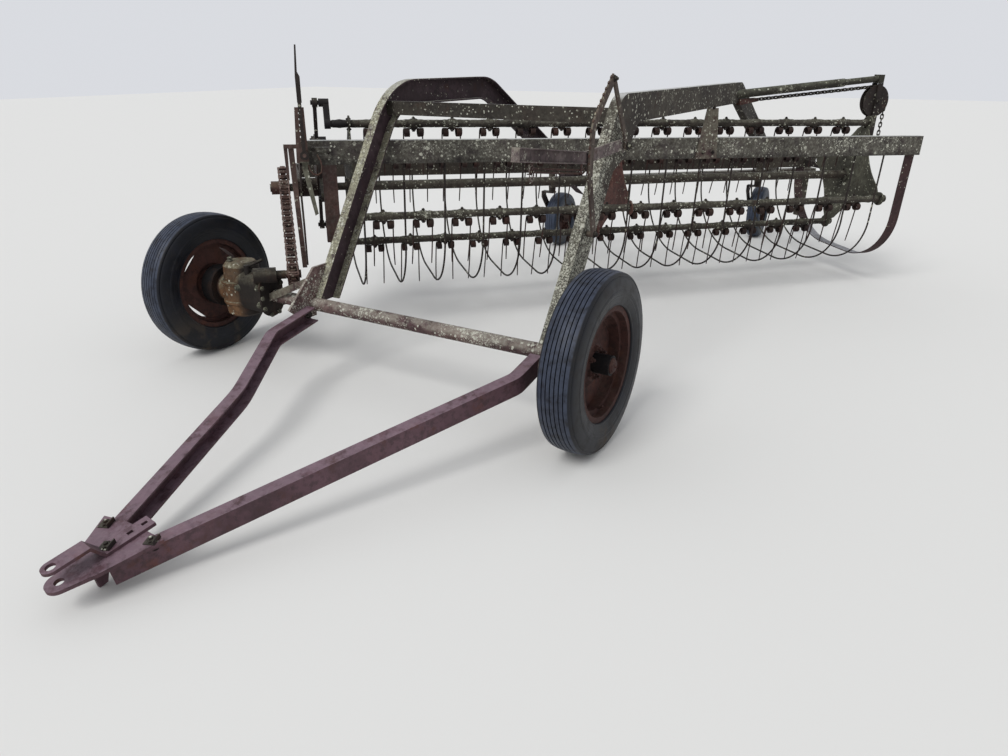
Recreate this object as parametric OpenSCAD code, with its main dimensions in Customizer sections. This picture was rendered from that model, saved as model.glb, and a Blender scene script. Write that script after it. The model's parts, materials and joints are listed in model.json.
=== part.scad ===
// Rotary hay rake, tractor drawn, with a slanted parallel-bar reel.
// Machine frame: +X to the machine's left, +Y to the rear, +Z up, ground at 0
// below the middle of the axle. Every node is then moved so that the hole for
// the hitch pin is the origin. Sizes are millimetres, angles are degrees.

/* [Wheels] */
// Outside diameter of the main tyres
tyre_od = 690; // [660:5:720]
// Width of the main tyres
tyre_w = 147; // [135:1:160]
// Bead seat diameter of the main rims
rim_d = 406; // [396:1:416]
// Width of the main rims between their flanges
rim_w = 102; // [90:1:110]
// Distance between the two main tyres' middles
track = 2108; // [2060:2:2160]
// Diameter of the wheel spindles
spindle_d = 38; // [30:1:44]
// Diameter of the main wheel hubs
hub_d = 76; // [66:1:90]

/* [Axle and gearbox] */
// Outside diameter of the axle tube
axle_od = 60.3; // [50:0.1:70]
// Diameter of the gearbox drum
gearbox_d = 190; // [160:2:210]
// Height of the gearbox drum
gearbox_h = 260; // [240:5:290]
// Distance of the gearbox drum from the right wheel's middle
gearbox_in = 249; // [240:1:258]

/* [Tongue] */
// Height of the tongue's hinge above the ground
hinge_z = 315; // [300:1:325]
// Distance of the tongue's hinge ahead of the axle
hinge_ahead = 66; // [60:1:80]
// Length from the hinge to the hitch pin, along the tongue
tongue_len = 1523; // [1483:2:1563]
// Sideways place of the hitch pin
hitch_x = 220; // [214:1:226]
// Depth of the tongue's channels
tongue_web = 68; // [60:1:76]
// Width of the tongue's channel flanges
tongue_flange = 48; // [40:1:54]
// Diameter of the hitch pin's hole
hitch_hole_d = 28; // [22:1:34]
// Thickness of the hitch plates
hitch_t = 12; // [8:1:16]

/* [Arches] */
// Depth of the arch channels
arch_depth = 116; // [105:1:125]
// Width of the arch channel flanges
arch_flange = 45; // [36:1:50]
// Thickness of the arch channels
arch_t = 7; // [5:0.5:9]
// Outer face of the right arch, from the machine's middle
arch_right_out = 345; // [335:1:355]
// Outer face of the left arch, from the machine's middle
arch_left_out = 870; // [862:1:878]
// Height of the right arch above the axle
arch_right_rise = 940; // [915:1:965]
// Height of the left arch above the axle
arch_left_rise = 901; // [890:1:925]

/* [Basket] */
// Angle of the reel and its beams to the axle
basket_angle = 47; // [46:0.5:48]
// Tilt of the basket, its rear left end low
basket_tilt = 1.2; // [0.8:0.1:1.6]
// Depth of the front beam
beam_depth = 110; // [100:1:116]
// Width of the front beam's flanges
beam_flange = 50; // [40:1:54]
// Thickness of the beams
beam_t = 7; // [5:0.5:9]
// Depth of the rear beam
rear_beam_depth = 80; // [70:1:90]

/* [Reel] */
// Radius of the circle that the tooth bars turn on
reel_r = 345; // [335:1:347]
// Outside diameter of the reel's tube
reel_tube_d = 50.8; // [44:0.1:58]
// Outside diameter of a tooth bar
bar_d = 33.4; // [28:0.1:34]
// Throw of each tooth bar's crank
crank_throw = 105; // [98:1:108]
// Thickness of the reel heads
head_t = 8; // [6:0.5:12]
// Radius of a reel head's lobe around a tooth bar
lobe_r = 40; // [34:1:44]
// Radius of the control ring's fixed disc
eccentric_r = 146; // [142:1:150]

/* [Tines] */
// Spacing of the tine pairs and of the strippers
tine_pitch = 207.5; // [200:0.5:212]
// Distance between the two tines of a pair
tine_gap = 72; // [60:1:80]
// Diameter of the tine wire
tine_d = 7; // [5:0.5:9]
// Outside diameter of the tine coils
coil_d = 50; // [42:1:54]
// Reach of the tine tips below their bar
tine_reach = 270; // [240:1:285]
// Diameter of the stripper rods
stripper_d = 10; // [8:0.5:12]

/* [Drive] */
// Pitch of the drive chain
chain_pitch = 41.9; // [41:0.1:42.5]
// Links in the drive chain
chain_links = 46; // [45:1:48]
// Teeth of the sprocket on the reel
reel_teeth = 15; // [13:1:16]
// Teeth of the sprocket on the gearbox
drive_teeth = 9; // [8:1:10]

/* [Casters] */
// Outside diameter of the caster tyres
caster_od = 405; // [380:1:430]
// Width of the caster tyres
caster_w = 105; // [90:1:115]
// Trail of the caster wheels behind their pivots
caster_trail = 170; // [150:1:185]

/* [Lift and levers] */
// Diameter of the lift arm's tube
lift_tube_d = 48; // [40:1:54]
// Diameter of the pulley for the lift chain
pulley_d = 190; // [170:2:210]
// Length of the hand lever on the left arch
lever_len = 900; // [800:5:1000]
// Length of the upright lever at the beam's end
upright_lever_len = 470; // [400:5:520]

/* [Hidden] */
$fn = 64;

// Fits: a seat is a small gap between pieces of one body, a run is a shaft's play
seat = 0.3;
run = 0.05;
tiny = 0.01;

// Wheels and axle
axle_z = tyre_od / 2;
spindle_r = spindle_d / 2;
hub_r = hub_d / 2;
wheel_x = track / 2;
hub_in = -30;
hub_out = 72;
stub_in = hub_in - 10;
rim_t = 4;
rim_lip = 17.5;
well_depth = 20;
well_w = 44;

// Gearbox
gearbox_out = wheel_x - gearbox_in;
gearbox_side_x = -600;
gearbox_flange = 10;
gearbox_z = axle_z + 12;
hub_drum_r = 100;

// Tongue
pin_r = 10;
lug_t = 12;
lug_gap = 1;
web_half = tongue_web / 2;
hitch_nose = 38;
hitch_gap = 46;
plate_low = web_half + seat;
ear_low = plate_low + hitch_t;
ear_high = ear_low + hitch_gap;
pin_z = (ear_low + ear_high) / 2;
// The tongue rests on a foot below its plate
foot_reach = tongue_len - 83;
foot_low = 67.3;
tongue_drop = asin(hinge_z / norm([foot_reach, foot_low])) - atan(foot_low / foot_reach);
hinge_y = -hinge_ahead;
hitch_pin = [hitch_x, hinge_y - tongue_len * cos(tongue_drop) - pin_z * sin(tongue_drop),
    hinge_z - tongue_len * sin(tongue_drop) + pin_z * cos(tongue_drop)];
tongue_right_x = -arch_right_out + 12;
tongue_left_x = arch_left_out - 5;

// Arches
arch_right_top = axle_z + arch_right_rise;
arch_left_top = axle_z + arch_left_rise;

// Places of the basket: middle of the reel's axis, and distances along it and across it
reel_mid = [316, 1868, axle_z + 366];
strippers_n = 16;
first_stripper = 1595;
pairs_n = strippers_n - 1;
head_front_x = first_stripper - pairs_n * tine_pitch - 22.5;
head_places = [head_front_x, first_stripper - pairs_n / 2 * tine_pitch - 66.75, first_stripper + 88];
bar_start = head_front_x - 92;
bar_end = first_stripper + 125;
ring_x = bar_start - 80;
front_end = ring_x - 88;
rear_end = first_stripper + 245;
sprocket_x = front_end - 87;
beam_v = -410;
beam_top = 274;
beam_bottom = beam_top - beam_depth;
rear_beam_v = 580;
rear_beam_top = 50;
rear_beam_bottom = rear_beam_top - rear_beam_depth;
rear_beam_flange = 40;
bar_r = bar_d / 2;
tube_r = reel_tube_d / 2;
shaft_r = 20;
bar_angles = [108, 198, 288, 18];
crank_lean = 20;
crank_v = crank_throw * sin(crank_lean);
crank_z = crank_throw * cos(crank_lean);
crank_t = 30;
crank_pin_r = 11;
pin_out = ring_x - 10;
ring_t = 20;
ring_rim = 22;
eye_r = 23;
coil_drop = bar_r + coil_d / 2 + 9;
coil_len = 22;
band_x = first_stripper + 157;
band_w = 66;
band_t = 6;
rear_hub_x = band_x + 24;
rear_hub_len = 40;
strap_x = rear_hub_x + rear_hub_len;

// Chain: pitch radii of the sprockets and the place of the lower one
reel_sprocket_r = chain_pitch / 2 / sin(180 / reel_teeth);
drive_sprocket_r = chain_pitch / 2 / sin(180 / drive_teeth);
teeth_gap = (reel_teeth - drive_teeth) / (2 * PI);
chain_run = chain_links - (reel_teeth + drive_teeth) / 2;
sprocket_dist = chain_pitch / 4 * (chain_run + sqrt(pow(chain_run, 2) - 8 * pow(teeth_gap, 2)));
chain_slope = 24.8;
drive_v = -sprocket_dist * cos(chain_slope);
drive_z = -sprocket_dist * sin(chain_slope);
chain_half_w = 24;
chain_wire_r = 5;
barrel_r = 6.5;
teeth_below = barrel_r + 3;

// Rear member and casters
member_a = [-320, 2860];
member_b = [860, 3980];
member_z = 530;
member_size = 70;
member_dir = atan2(member_b[1] - member_a[1], member_b[0] - member_a[0]);
caster_pin_r = 15;
caster_right_at = [-560, 2810];
caster_left_at = [740, 3897];
caster_pin_top = 640;
sleeve_bottom = 470;
sleeve_top = 610;
sleeve_r = 25;

// Lift gear
lift_from = [arch_left_out + seat, 2420, arch_left_top - 66];
lift_to = [1546, 3187, reel_mid[2] + 547];

// Paths are rows of [along, up, fillet radius]
function heading(p, i) = atan2(p[i + 1][1] - p[i][1], p[i + 1][0] - p[i][0]);
function wrapped(a) = a > 180 ? a - 360 : a < -180 ? a + 360 : a;
function turned(p, i) = wrapped(heading(p, i) - heading(p, i - 1));
function trim(p, i) = i <= 0 || i >= len(p) - 1 ? 0 : p[i][2] * tan(abs(turned(p, i)) / 2);
function span(p, i) = norm([p[i + 1][0] - p[i][0], p[i + 1][1] - p[i][1]]) - trim(p, i) - trim(p, i + 1);

function unit(a) = [cos(a), sin(a)];
function reversed(v) = [for (i = [len(v) - 1:-1:0]) v[i]];
function arc_centre(p, i) = [p[i][0], p[i][1]] - trim(p, i) * unit(heading(p, i - 1))
    + sign(turned(p, i)) * p[i][2] * unit(heading(p, i - 1) + 90);
function arc_points(p, i, d) = let (a = turned(p, i), n = ceil(abs(a) / 4), s = sign(a))
    [for (k = [0:n]) arc_centre(p, i) + (p[i][2] - s * d) * unit(heading(p, i - 1) - s * 90 + a * k / n)];
function corner_points(p, i, d) = trim(p, i) > 0 ? arc_points(p, i, d)
    : [[p[i][0], p[i][1]] + d / cos(turned(p, i) / 2) * unit(heading(p, i - 1) + turned(p, i) / 2 + 90)];
function end_point(p, i, d) = [p[i][0], p[i][1]] + d * unit(heading(p, min(i, len(p) - 2)) + 90);
// The line at a distance d to the left of a path
function side_line(p, d) = [for (i = [0:len(p) - 1])
    each (i == 0 || i == len(p) - 1 ? [end_point(p, i, d)] : corner_points(p, i, d))];

// Flat outline between two distances from a path
module ribbon(p, d0, d1) { polygon(concat(side_line(p, d0), reversed(side_line(p, d1)))); }
module bar(p, d0, d1, z0, z1) { translate([0, 0, z0]) linear_extrude(z1 - z0) ribbon(p, d0, d1); }

// Channel along a path: web on the plane of the path, flanges on its upper side
module bent_channel(p, depth, flange, t) {
    bar(p, -depth, 0, 0, t);
    bar(p, -t, 0, 0, flange);
    bar(p, -depth, -depth + t, 0, flange);
}

// Round rod along a path, with a slight bead where each straight meets its bend
module rod(p, r) {
    for (i = [0:len(p) - 2]) {
        g0 = i > 0 ? 0.5 : 0;
        g1 = i < len(p) - 2 ? 0.5 : 0;
        translate([p[i][0], p[i][1], 0]) rotate([0, 0, heading(p, i)])
            along_x(r, trim(p, i) + g0, trim(p, i) + span(p, i) - g1);
    }
    for (i = [1:1:len(p) - 2]) translate([p[i][0], p[i][1], 0]) {
        a = turned(p, i);
        rotate([0, 0, heading(p, i - 1)]) {
            translate([-trim(p, i), 0, 0]) bend(a, p[i][2]) circle(r = r, $fn = 24);
            along_x(r + 0.4, -trim(p, i) - 2, -trim(p, i) + 2);
        }
        rotate([0, 0, heading(p, i)]) along_x(r + 0.4, trim(p, i) - 2, trim(p, i) + 2);
    }
}

module bend(a, r) {
    if (a > 0)
        translate([0, r, 0]) rotate([0, 0, -90])
            rotate_extrude(angle = a, $fn = 96) translate([r, 0]) children();
    else
        translate([0, -r, 0]) rotate([0, 0, 90 + a])
            rotate_extrude(angle = -a, $fn = 96) translate([r, 0]) children();
}

// Frames of reference
module place() { translate(-hitch_pin) children(); }
module upright(x = 0) { translate([x, 0, 0]) rotate([90, 0, 90]) children(); }
module basket() {
    translate(reel_mid) rotate([0, 0, basket_angle]) rotate([0, basket_tilt, 0]) children();
}
module tongue_frame() { translate([0, hinge_y, hinge_z]) rotate([tongue_drop, 0, 0]) children(); }
module wheel_frame(side) { translate([side * wheel_x, 0, axle_z]) rotate([0, side * 90, 0]) children(); }
module along_x(r, x0, x1) { translate([x0, 0, 0]) rotate([0, 90, 0]) cylinder(r = r, h = x1 - x0); }
module member_frame() {
    translate([member_a[0], member_a[1], member_z]) rotate([0, 0, member_dir]) children();
}
module box_at(low, high) { translate(low) cube(high - low); }

// Tyres and wheels, revolved around their axle
module tyre_ring(od, w, seat_d, seat_w, lip, grooves) {
    section_r = w / 2;
    section_c = od / 2 - section_r;
    tread = 0.16 * w;
    groove_w = 0.045 * w;
    rotate_extrude($fn = 128) difference() {
        intersection() {
            union() {
                translate([section_c, 0]) circle(r = section_r);
                translate([od / 2 - tread, -0.4 * w]) square([tread, 0.8 * w]);
                for (s = [-1, 1])
                    translate([seat_d / 2 + seat, s > 0 ? 0.18 * w : -seat_w / 2 + seat])
                        square([section_c - 0.3 * w - seat_d / 2 - seat, seat_w / 2 - seat - 0.18 * w]);
            }
            translate([seat_d / 2 + seat, -w]) square([od / 2 - seat_d / 2 - seat, 2 * w]);
        }
        translate([section_c - 0.03 * w, 0]) circle(r = 0.39 * w);
        for (s = [-1, 1])
            translate([seat_d / 2 - lip, s > 0 ? seat_w / 2 - seat : -w]) square([2 * lip + seat, w - seat_w / 2 + seat]);
        for (k = [0:grooves - 1])
            translate([od / 2 - 0.05 * w, (k - (grooves - 1) / 2) * 0.13 * w - groove_w / 2])
                square([0.1 * w, groove_w]);
    }
}

module rim_section(seat_r, w, lip, depth, well) {
    for (s = [0, 1]) mirror([0, s]) {
        translate([seat_r - rim_t, well / 2]) square([rim_t, w / 2 - well / 2 + rim_t]);
        translate([seat_r - rim_t, w / 2]) square([lip + rim_t, rim_t]);
        translate([seat_r - depth - rim_t, well / 2]) square([depth + rim_t, rim_t]);
    }
    translate([seat_r - depth - rim_t, -well / 2]) square([rim_t, well]);
}

module main_wheel() {
    seat_r = rim_d / 2;
    well_r = seat_r - well_depth - rim_t;
    disc_t = 6;
    chord = well_r - 15;
    difference() {
        union() {
            rotate_extrude($fn = 128) rim_section(seat_r, rim_w, rim_lip, well_depth, well_w);
            difference() {
                rotate_extrude($fn = 128) polygon([
                    [hub_r - 2, 4], [hub_r + 34, 4], [hub_r + 62, -16], [well_r + 1, -16],
                    [well_r + 1, -16 - disc_t], [hub_r + 60, -16 - disc_t], [hub_r + 32, 4 - disc_t],
                    [hub_r - 2, 4 - disc_t]]);
                for (k = [0:3]) rotate([0, 0, 45 + 90 * k])
                    translate([chord, -well_r, -50]) cube([40, 2 * well_r, 100]);
            }
            translate([0, 0, hub_in]) cylinder(r = hub_r, h = hub_out - hub_in);
        }
        translate([0, 0, hub_in - 1]) cylinder(r = spindle_r + run, h = hub_out - hub_in - 8);
        for (k = [0:5]) rotate([0, 0, 60 * k]) translate([hub_r + 18, 0, -20]) cylinder(r = 7, h = 40);
    }
}

module tyre_left() {
    color("#2a2d33") place() wheel_frame(1) tyre_ring(tyre_od, tyre_w, rim_d, rim_w, rim_lip, 5);
}
module tyre_right() {
    color("#2a2d33") place() wheel_frame(-1) tyre_ring(tyre_od, tyre_w, rim_d, rim_w, rim_lip, 5);
}
module wheel_left() { color("#7a4028") place() wheel_frame(1) main_wheel(); }
module wheel_right() { color("#7a4028") place() wheel_frame(-1) main_wheel(); }

// Axle tube with the left spindle and the lugs that carry the tongue
module axle() {
    shoulder = wheel_x + stub_in;
    color("#6d5f52") place() {
        translate([0, 0, axle_z]) {
            along_x(axle_od / 2, gearbox_side_x + gearbox_flange + seat, shoulder);
            along_x(spindle_r, shoulder - 5, wheel_x + hub_out - 16);
        }
        tongue_lug(tongue_right_x - lug_gap, -1);
        tongue_lug(tongue_left_x + lug_gap, 1);
        // Gusset in one with the right lug, in front of the right arch's leg
        upright(tongue_right_x - lug_gap - lug_t) linear_extrude(lug_t) polygon([
            [leg_front(axle_z + 30), axle_z + 30], [leg_front(gusset_top), gusset_top], [11, gusset_top],
            [hinge_y - 95, hinge_z + 42], [hinge_y - 24, hinge_z - 20], [0, hinge_z - 20]]);
    }
}
gusset_top = axle_z + 169;
// Front edge of the right arch's leg at a height, with a small gap
function leg_front(z) = arch_right_path[0][0] + (z - arch_right_path[0][1]) / tan(heading(arch_right_path, 0)) - 0.5;

module tongue_lug(x, side) {
    translate([side > 0 ? x : x - lug_t, 0, 0]) difference() {
        union() {
            box_at([0, hinge_y, hinge_z - 22], [lug_t, 0, hinge_z + 22]);
            translate([0, hinge_y, hinge_z]) along_x(22, 0, lug_t);
            translate([0, hinge_y, hinge_z]) along_x(pin_r, side > 0 ? -22 : -6, side > 0 ? lug_t + 6 : lug_t + 22);
        }
    }
}

// Arches: bent channels from the axle over the reel to the rear member
arch_right_path = [[-8, axle_z + 10, 0], [600, arch_right_top, 360], [1500, arch_right_top, 350], [2960, 492, 0]];
arch_left_path = [[-8, axle_z + 27, 0], [590, arch_left_top, 125], [2490, arch_left_top, 160], [4100, 545, 0]];

module arch_cuts() {
    // Coped over the axle tube and cut off at the rear member
    translate([0, 0, axle_z]) along_x(axle_od / 2 + seat, -1000, 1000);
    translate([-1000, -500, -500]) cube([2000, 1000, 500 + axle_z]);
    member_frame() translate([-1500, -member_size / 2 - seat, -1000]) cube([4000, 1500, 2000]);
}

// Room for the front beam where the right arch's leg stands on it
module beam_clearance() {
    basket() box_at([front_end, beam_v - seat, beam_bottom - seat], [rear_end, beam_v + beam_flange, beam_top + seat]);
}

module arch_right() {
    color("#5f5048") place() difference() {
        upright(-arch_right_out) bent_channel(arch_right_path, arch_depth, arch_flange, arch_t);
        arch_cuts();
        beam_clearance();
    }
}

module arch_left() {
    color("#6b6a5c") place() difference() {
        union() {
            upright(arch_left_out) mirror([0, 0, 1])
                bent_channel(arch_left_path, arch_depth, arch_flange, arch_t);
            // Corner plate that carries the hand lever
            upright(arch_left_out - arch_t) linear_extrude(arch_t)
                polygon([for (q = [[520, -296], [560, -226], [655, -106], [800, -106], [650, -246]])
                    [q[0], arch_left_top + q[1]]]);
        }
        arch_cuts();
        basket() box_at([front_end, rear_beam_v - beam_t, rear_beam_bottom - seat],
            [rear_end + 100, rear_beam_v + rear_beam_flange + beam_t, rear_beam_top + seat]);
    }
}

// Angle bar between the front legs of the arches
module arch_brace() {
    z0 = arch_left_top - 116;
    y0 = 600;
    color("#6a6257") place() {
        box_at([-arch_right_out + arch_t + seat, y0, z0], [arch_left_out - arch_t - seat, y0 + 8, z0 + 62]);
        box_at([-arch_right_out + arch_t + seat, y0, z0], [arch_left_out - arch_t - seat, y0 + 40, z0 + 8]);
    }
}

// Square tube across the rear ends of the arches, with the caster sleeves and a parking post
module rear_member() {
    half = member_size / 2;
    color("#5b5a4d") place() difference() {
        union() {
            member_frame() box_at([-260, -half, -half], [1960, half, half]);
            caster_sleeve(caster_right_at, 129);
            caster_sleeve(caster_left_at, 30);
            member_frame() box_at([1890, half - 1, -350], [1955, half + 45, 120]);
        }
        for (at = [caster_right_at, caster_left_at])
            translate([at[0], at[1], 0]) cylinder(r = caster_pin_r + run, h = 2000);
    }
}

module caster_sleeve(at, reach) {
    translate([at[0], at[1], 0]) {
        translate([0, 0, sleeve_bottom]) cylinder(r = sleeve_r, h = sleeve_top - sleeve_bottom);
        rotate([0, 0, member_dir]) box_at([-20, -reach, member_z - 10], [20, 0, member_z + 10]);
    }
}

// Gearbox: upright drum, bolted side housing, output neck and the drum by the right wheel
module gearbox() {
    r = gearbox_d / 2;
    z0 = gearbox_z - gearbox_h / 2;
    color("#8a6f4e") place() {
        translate([-gearbox_out, 0, z0]) rotate_extrude($fn = 96) polygon([
            [0, 0], [r - 24, 0], [r - 8, 12], [r - 2, 60], [r + 5, 66], [r + 5, 76], [r, 80], [r, 160],
            [r + 6, 163], [r + 6, 172], [r - 9, 175], [r - 13, gearbox_h - 18], [r - 28, gearbox_h],
            [0, gearbox_h]]);
        upright(-gearbox_out + 40) linear_extrude(gearbox_out - 40 + gearbox_side_x + 1) housing(60);
        upright(gearbox_side_x) linear_extrude(gearbox_flange) housing(70);
        basket() translate([0, drive_v, drive_z]) {
            along_x(36, sprocket_x - 178, sprocket_x - 76);
            along_x(20, sprocket_x - 80, sprocket_x - 34);
        }
        translate([0, 0, axle_z]) {
            along_x(70, -wheel_x + 120, -gearbox_out);
            along_x(hub_drum_r, -wheel_x + 62, -wheel_x + 135);
            along_x(spindle_r, -wheel_x - hub_out + 16, -wheel_x + 70);
        }
        // Shift lever on its post
        translate([-gearbox_out + 96, -46, axle_z + 90]) cylinder(r = 15, h = 52);
        translate([-gearbox_out + 96, -46, axle_z + 134]) rotate([0, 66, 25]) cylinder(r = 7, h = 88);
    }
}
module housing(r) {
    translate([-22, axle_z - 24]) circle(r = r);
    translate([-22, axle_z + 52]) circle(r = r);
    translate([-22 - r, axle_z - 24]) square([2 * r, 76]);
}

// Toothed wheel with a hub, in the basket frame, turning around x
module sprocket(teeth, root_r, tip_r, hub_r, hub_x, bore) {
    width = 20;
    difference() {
        union() {
            upright(-width / 2) linear_extrude(width) {
                circle(r = root_r);
                for (k = [0:teeth - 1]) rotate(360 / teeth * k)
                    polygon([[root_r - 6, -9], [tip_r, -3.5], [tip_r, 3.5], [root_r - 6, 9]]);
            }
            along_x(hub_r, hub_x, 28);
        }
        along_x(bore, hub_x - 10, 40);
    }
}

module drive_sprocket() {
    // The chain's barrels lie on the root circle, with a tooth between each two of them
    barrel = ceil((reel_arc + chain_flat) / link_len) + 2;
    lap = (barrel * link_len - reel_arc - chain_flat) / drive_sprocket_r * 180 / PI;
    color("#5a4a3f") place() basket() translate([sprocket_x, drive_v, drive_z]) {
        rotate([chain_slope + 90 + chain_lap + lap + 180 / drive_teeth, 0, 0])
            sprocket(drive_teeth, drive_sprocket_r - barrel_r - seat, drive_sprocket_r + 5, 34, -28, 18);
        along_x(19, -34 + seat, 36);
    }
}

module reel_sprocket() {
    color("#6e5560") place() basket() translate([sprocket_x, 0, 0])
        sprocket(reel_teeth, reel_sprocket_r - 20, reel_sprocket_r - teeth_below, 34, -66, shaft_r + seat);
}

// Drive chain: a fixed loop of open links around both sprockets
chain_flat = sqrt(pow(sprocket_dist, 2) - pow(reel_sprocket_r - drive_sprocket_r, 2));
chain_lap = asin((reel_sprocket_r - drive_sprocket_r) / sprocket_dist);
reel_arc = reel_sprocket_r * (180 + 2 * chain_lap) * PI / 180;
drive_arc = drive_sprocket_r * (180 - 2 * chain_lap) * PI / 180;
chain_total = 2 * chain_flat + reel_arc + drive_arc;
link_len = chain_total / chain_links;
// Point at a distance along the loop, with the drive sprocket at the origin and the reel's at +x
function loop_point(d) =
    d < reel_arc ?
        [sprocket_dist, 0] + reel_sprocket_r * unit(-90 - chain_lap + d / reel_sprocket_r * 180 / PI) :
    d < reel_arc + chain_flat ?
        [sprocket_dist, 0] + reel_sprocket_r * unit(90 + chain_lap) + (d - reel_arc) * unit(180 + chain_lap) :
    d < reel_arc + chain_flat + drive_arc ?
        drive_sprocket_r * unit(90 + chain_lap + (d - reel_arc - chain_flat) / drive_sprocket_r * 180 / PI) :
        drive_sprocket_r * unit(270 - chain_lap) + (d - reel_arc - chain_flat - drive_arc) * unit(-chain_lap);
module drive_chain() {
    color("#6b4a35") place() basket() upright(sprocket_x) translate([drive_v, drive_z])
        rotate([0, 0, chain_slope])
            for (i = [0:chain_links - 1]) {
                a = loop_point(i * link_len);
                b = loop_point(((i + 1) % chain_links) * link_len);
                chain_link(a, b);
            }
}

module chain_link(a, b) {
    d = b - a;
    l = norm(d);
    splay = atan(7 / l);
    translate([a[0], a[1], 0]) rotate([0, 0, atan2(d[1], d[0])]) {
        translate([0, 0, -chain_half_w - 2]) cylinder(r = chain_wire_r, h = 2 * chain_half_w + 4, $fn = 24);
        translate([0, 0, -12]) cylinder(r = barrel_r, h = 24, $fn = 24);
        for (s = [0, 1]) mirror([0, 0, s])
            translate([0, 0, chain_half_w - 10]) rotate([0, -splay, 0])
                translate([0, -4, 0]) cube([l / cos(splay), 8, 4.5]);
    }
}

// Front beam: a channel with its web to the front, and a welded plate at its right end
module front_beam() {
    color("#67685a") place() basket() {
        box_at([front_end, beam_v, beam_bottom], [rear_end, beam_v + beam_t, beam_top]);
        box_at([front_end, beam_v, beam_top - beam_t], [rear_end, beam_v + beam_flange, beam_top]);
        box_at([front_end, beam_v, beam_bottom], [rear_end, beam_v + beam_flange, beam_bottom + beam_t]);
        // Slotted plate, and a channel that hangs below the beam
        difference() {
            box_at([front_end + 52, beam_v - 8, beam_bottom + 30], [front_end + 142, beam_v + 1, beam_top - 28]);
            box_at([front_end + 70, beam_v - 20, beam_bottom + 46], [front_end + 118, beam_v - 4, beam_bottom + 62]);
        }
        box_at([front_end + 94, beam_v, -210], [front_end + 162, beam_v + 7, beam_bottom + 1]);
        box_at([front_end + 94, beam_v, -210], [front_end + 101, beam_v + 34, beam_bottom + 1]);
        box_at([front_end + 155, beam_v, -210], [front_end + 162, beam_v + 34, beam_bottom + 1]);
    }
}

// Rear beam: a channel with its web to the reel
module rear_beam() {
    top = rear_beam_top;
    low = rear_beam_bottom;
    out = rear_beam_v + rear_beam_flange;
    color("#5e6153") place() basket() {
        box_at([front_end, rear_beam_v, low], [rear_end + 60, rear_beam_v + beam_t, top]);
        box_at([front_end, rear_beam_v, top - beam_t], [rear_end + 60, out, top]);
        box_at([front_end, rear_beam_v, low], [rear_end + 60, out, low + beam_t]);
    }
}

// Strippers: rods bent under the reel from beam to beam, one between each two tine pairs
front_rod_v = beam_v + 20;
rear_rod_v = rear_beam_v + 14;
function basket_path(front, rear, low) = [
    [front, beam_bottom - seat, 0], [front + 20, low, 300], [rear, low + 45, 430],
    [rear, rear_beam_bottom - seat, 0]];

module strippers() {
    color("#3c3129") place() basket()
        for (k = [0:strippers_n - 1])
            upright(first_stripper - k * tine_pitch)
                rod(basket_path(front_rod_v, rear_rod_v, -530), stripper_d / 2);
}

// End band: a wide flat strip bent around the reel's rear end
module end_band() {
    color("#4a3436") place() basket() upright(band_x)
        bar(basket_path(front_rod_v, rear_rod_v, -520), -band_t / 2, band_t / 2, 0, band_w);
}

// Front end frame: plate, bearing and the eccentric disc that keeps the tines upright
module front_end_frame() {
    plate_t = 8;
    boss_r = 48;
    tail = -395;
    color("#4e3f3c") place() basket() difference() {
        union() {
            upright(front_end - plate_t) linear_extrude(plate_t - seat) {
                polygon([[beam_v, beam_top], [beam_v + beam_flange, beam_top], [40, 45], [rear_beam_v, 40],
                    [rear_beam_v + rear_beam_flange, rear_beam_top], [rear_beam_v + rear_beam_flange,
                    rear_beam_bottom], [rear_beam_v, rear_beam_bottom], [0, -boss_r], [-40, -40],
                    [beam_v, beam_bottom]]);
                polygon([[-70, 0], [-150, -160], [-110, tail], [-20, tail], [50, -40]]);
                circle(r = boss_r + 12);
            }
            along_x(boss_r, front_end - 30, ring_x);
            translate([0, crank_v, crank_z]) along_x(eccentric_r, ring_x - 6, ring_x + ring_t + 6);
        }
        along_x(shaft_r + run, front_end - 100, ring_x + 100);
    }
}

// Control ring: turns on the eccentric disc and holds the crank pins
module control_ring() {
    color("#493b36") place() basket() translate([ring_x, crank_v, crank_z]) difference() {
        union() {
            along_x(eccentric_r + ring_rim, 0, ring_t);
            for (a = bar_angles) rotate([a, 0, 0]) {
                box_at([1, eccentric_r + 6, -15], [ring_t - 1, reel_r, 15]);
                translate([0, reel_r, 0]) along_x(eye_r, -2, ring_t + 4);
            }
        }
        along_x(eccentric_r + run, -20, 40);
        for (a = bar_angles) rotate([a, 0, 0]) translate([0, reel_r, 0]) along_x(crank_pin_r + run, -20, 40);
    }
}

// Rear bearing: hub, two straps up to the lift arm and a tie to the rear beam
module rear_bearing() {
    color("#4a4240") place() basket() difference() {
        union() {
            along_x(38, rear_hub_x, strap_x);
            for (s = [-1, 1])
                box_at([rear_hub_x, s * 25 - 4, 0], [rear_hub_x + 36, s * 25 + 4, lift_local[2] - 26 - seat]);
            box_at([strap_x - 12, 0, -18], [strap_x, rear_beam_v - seat, 22]);
            translate(pulley_at) rotate([90, 0, 0]) cylinder(r = 8, h = 68, center = true);
        }
        along_x(shaft_r + run, rear_hub_x - 50, strap_x - 10);
    }
}
// Where the lift arm starts and ends, as [along, 0, up] of the basket
function in_basket(q) = let (d = q - reel_mid, along = d[0] * cos(basket_angle) + d[1] * sin(basket_angle))
    [along * cos(basket_tilt) - d[2] * sin(basket_tilt), 0, along * sin(basket_tilt) + d[2] * cos(basket_tilt)];
lift_start = in_basket(lift_from);
lift_local = in_basket(lift_to);
lift_slope = atan2(lift_local[2] - lift_start[2], lift_local[0] - lift_start[0]);

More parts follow.
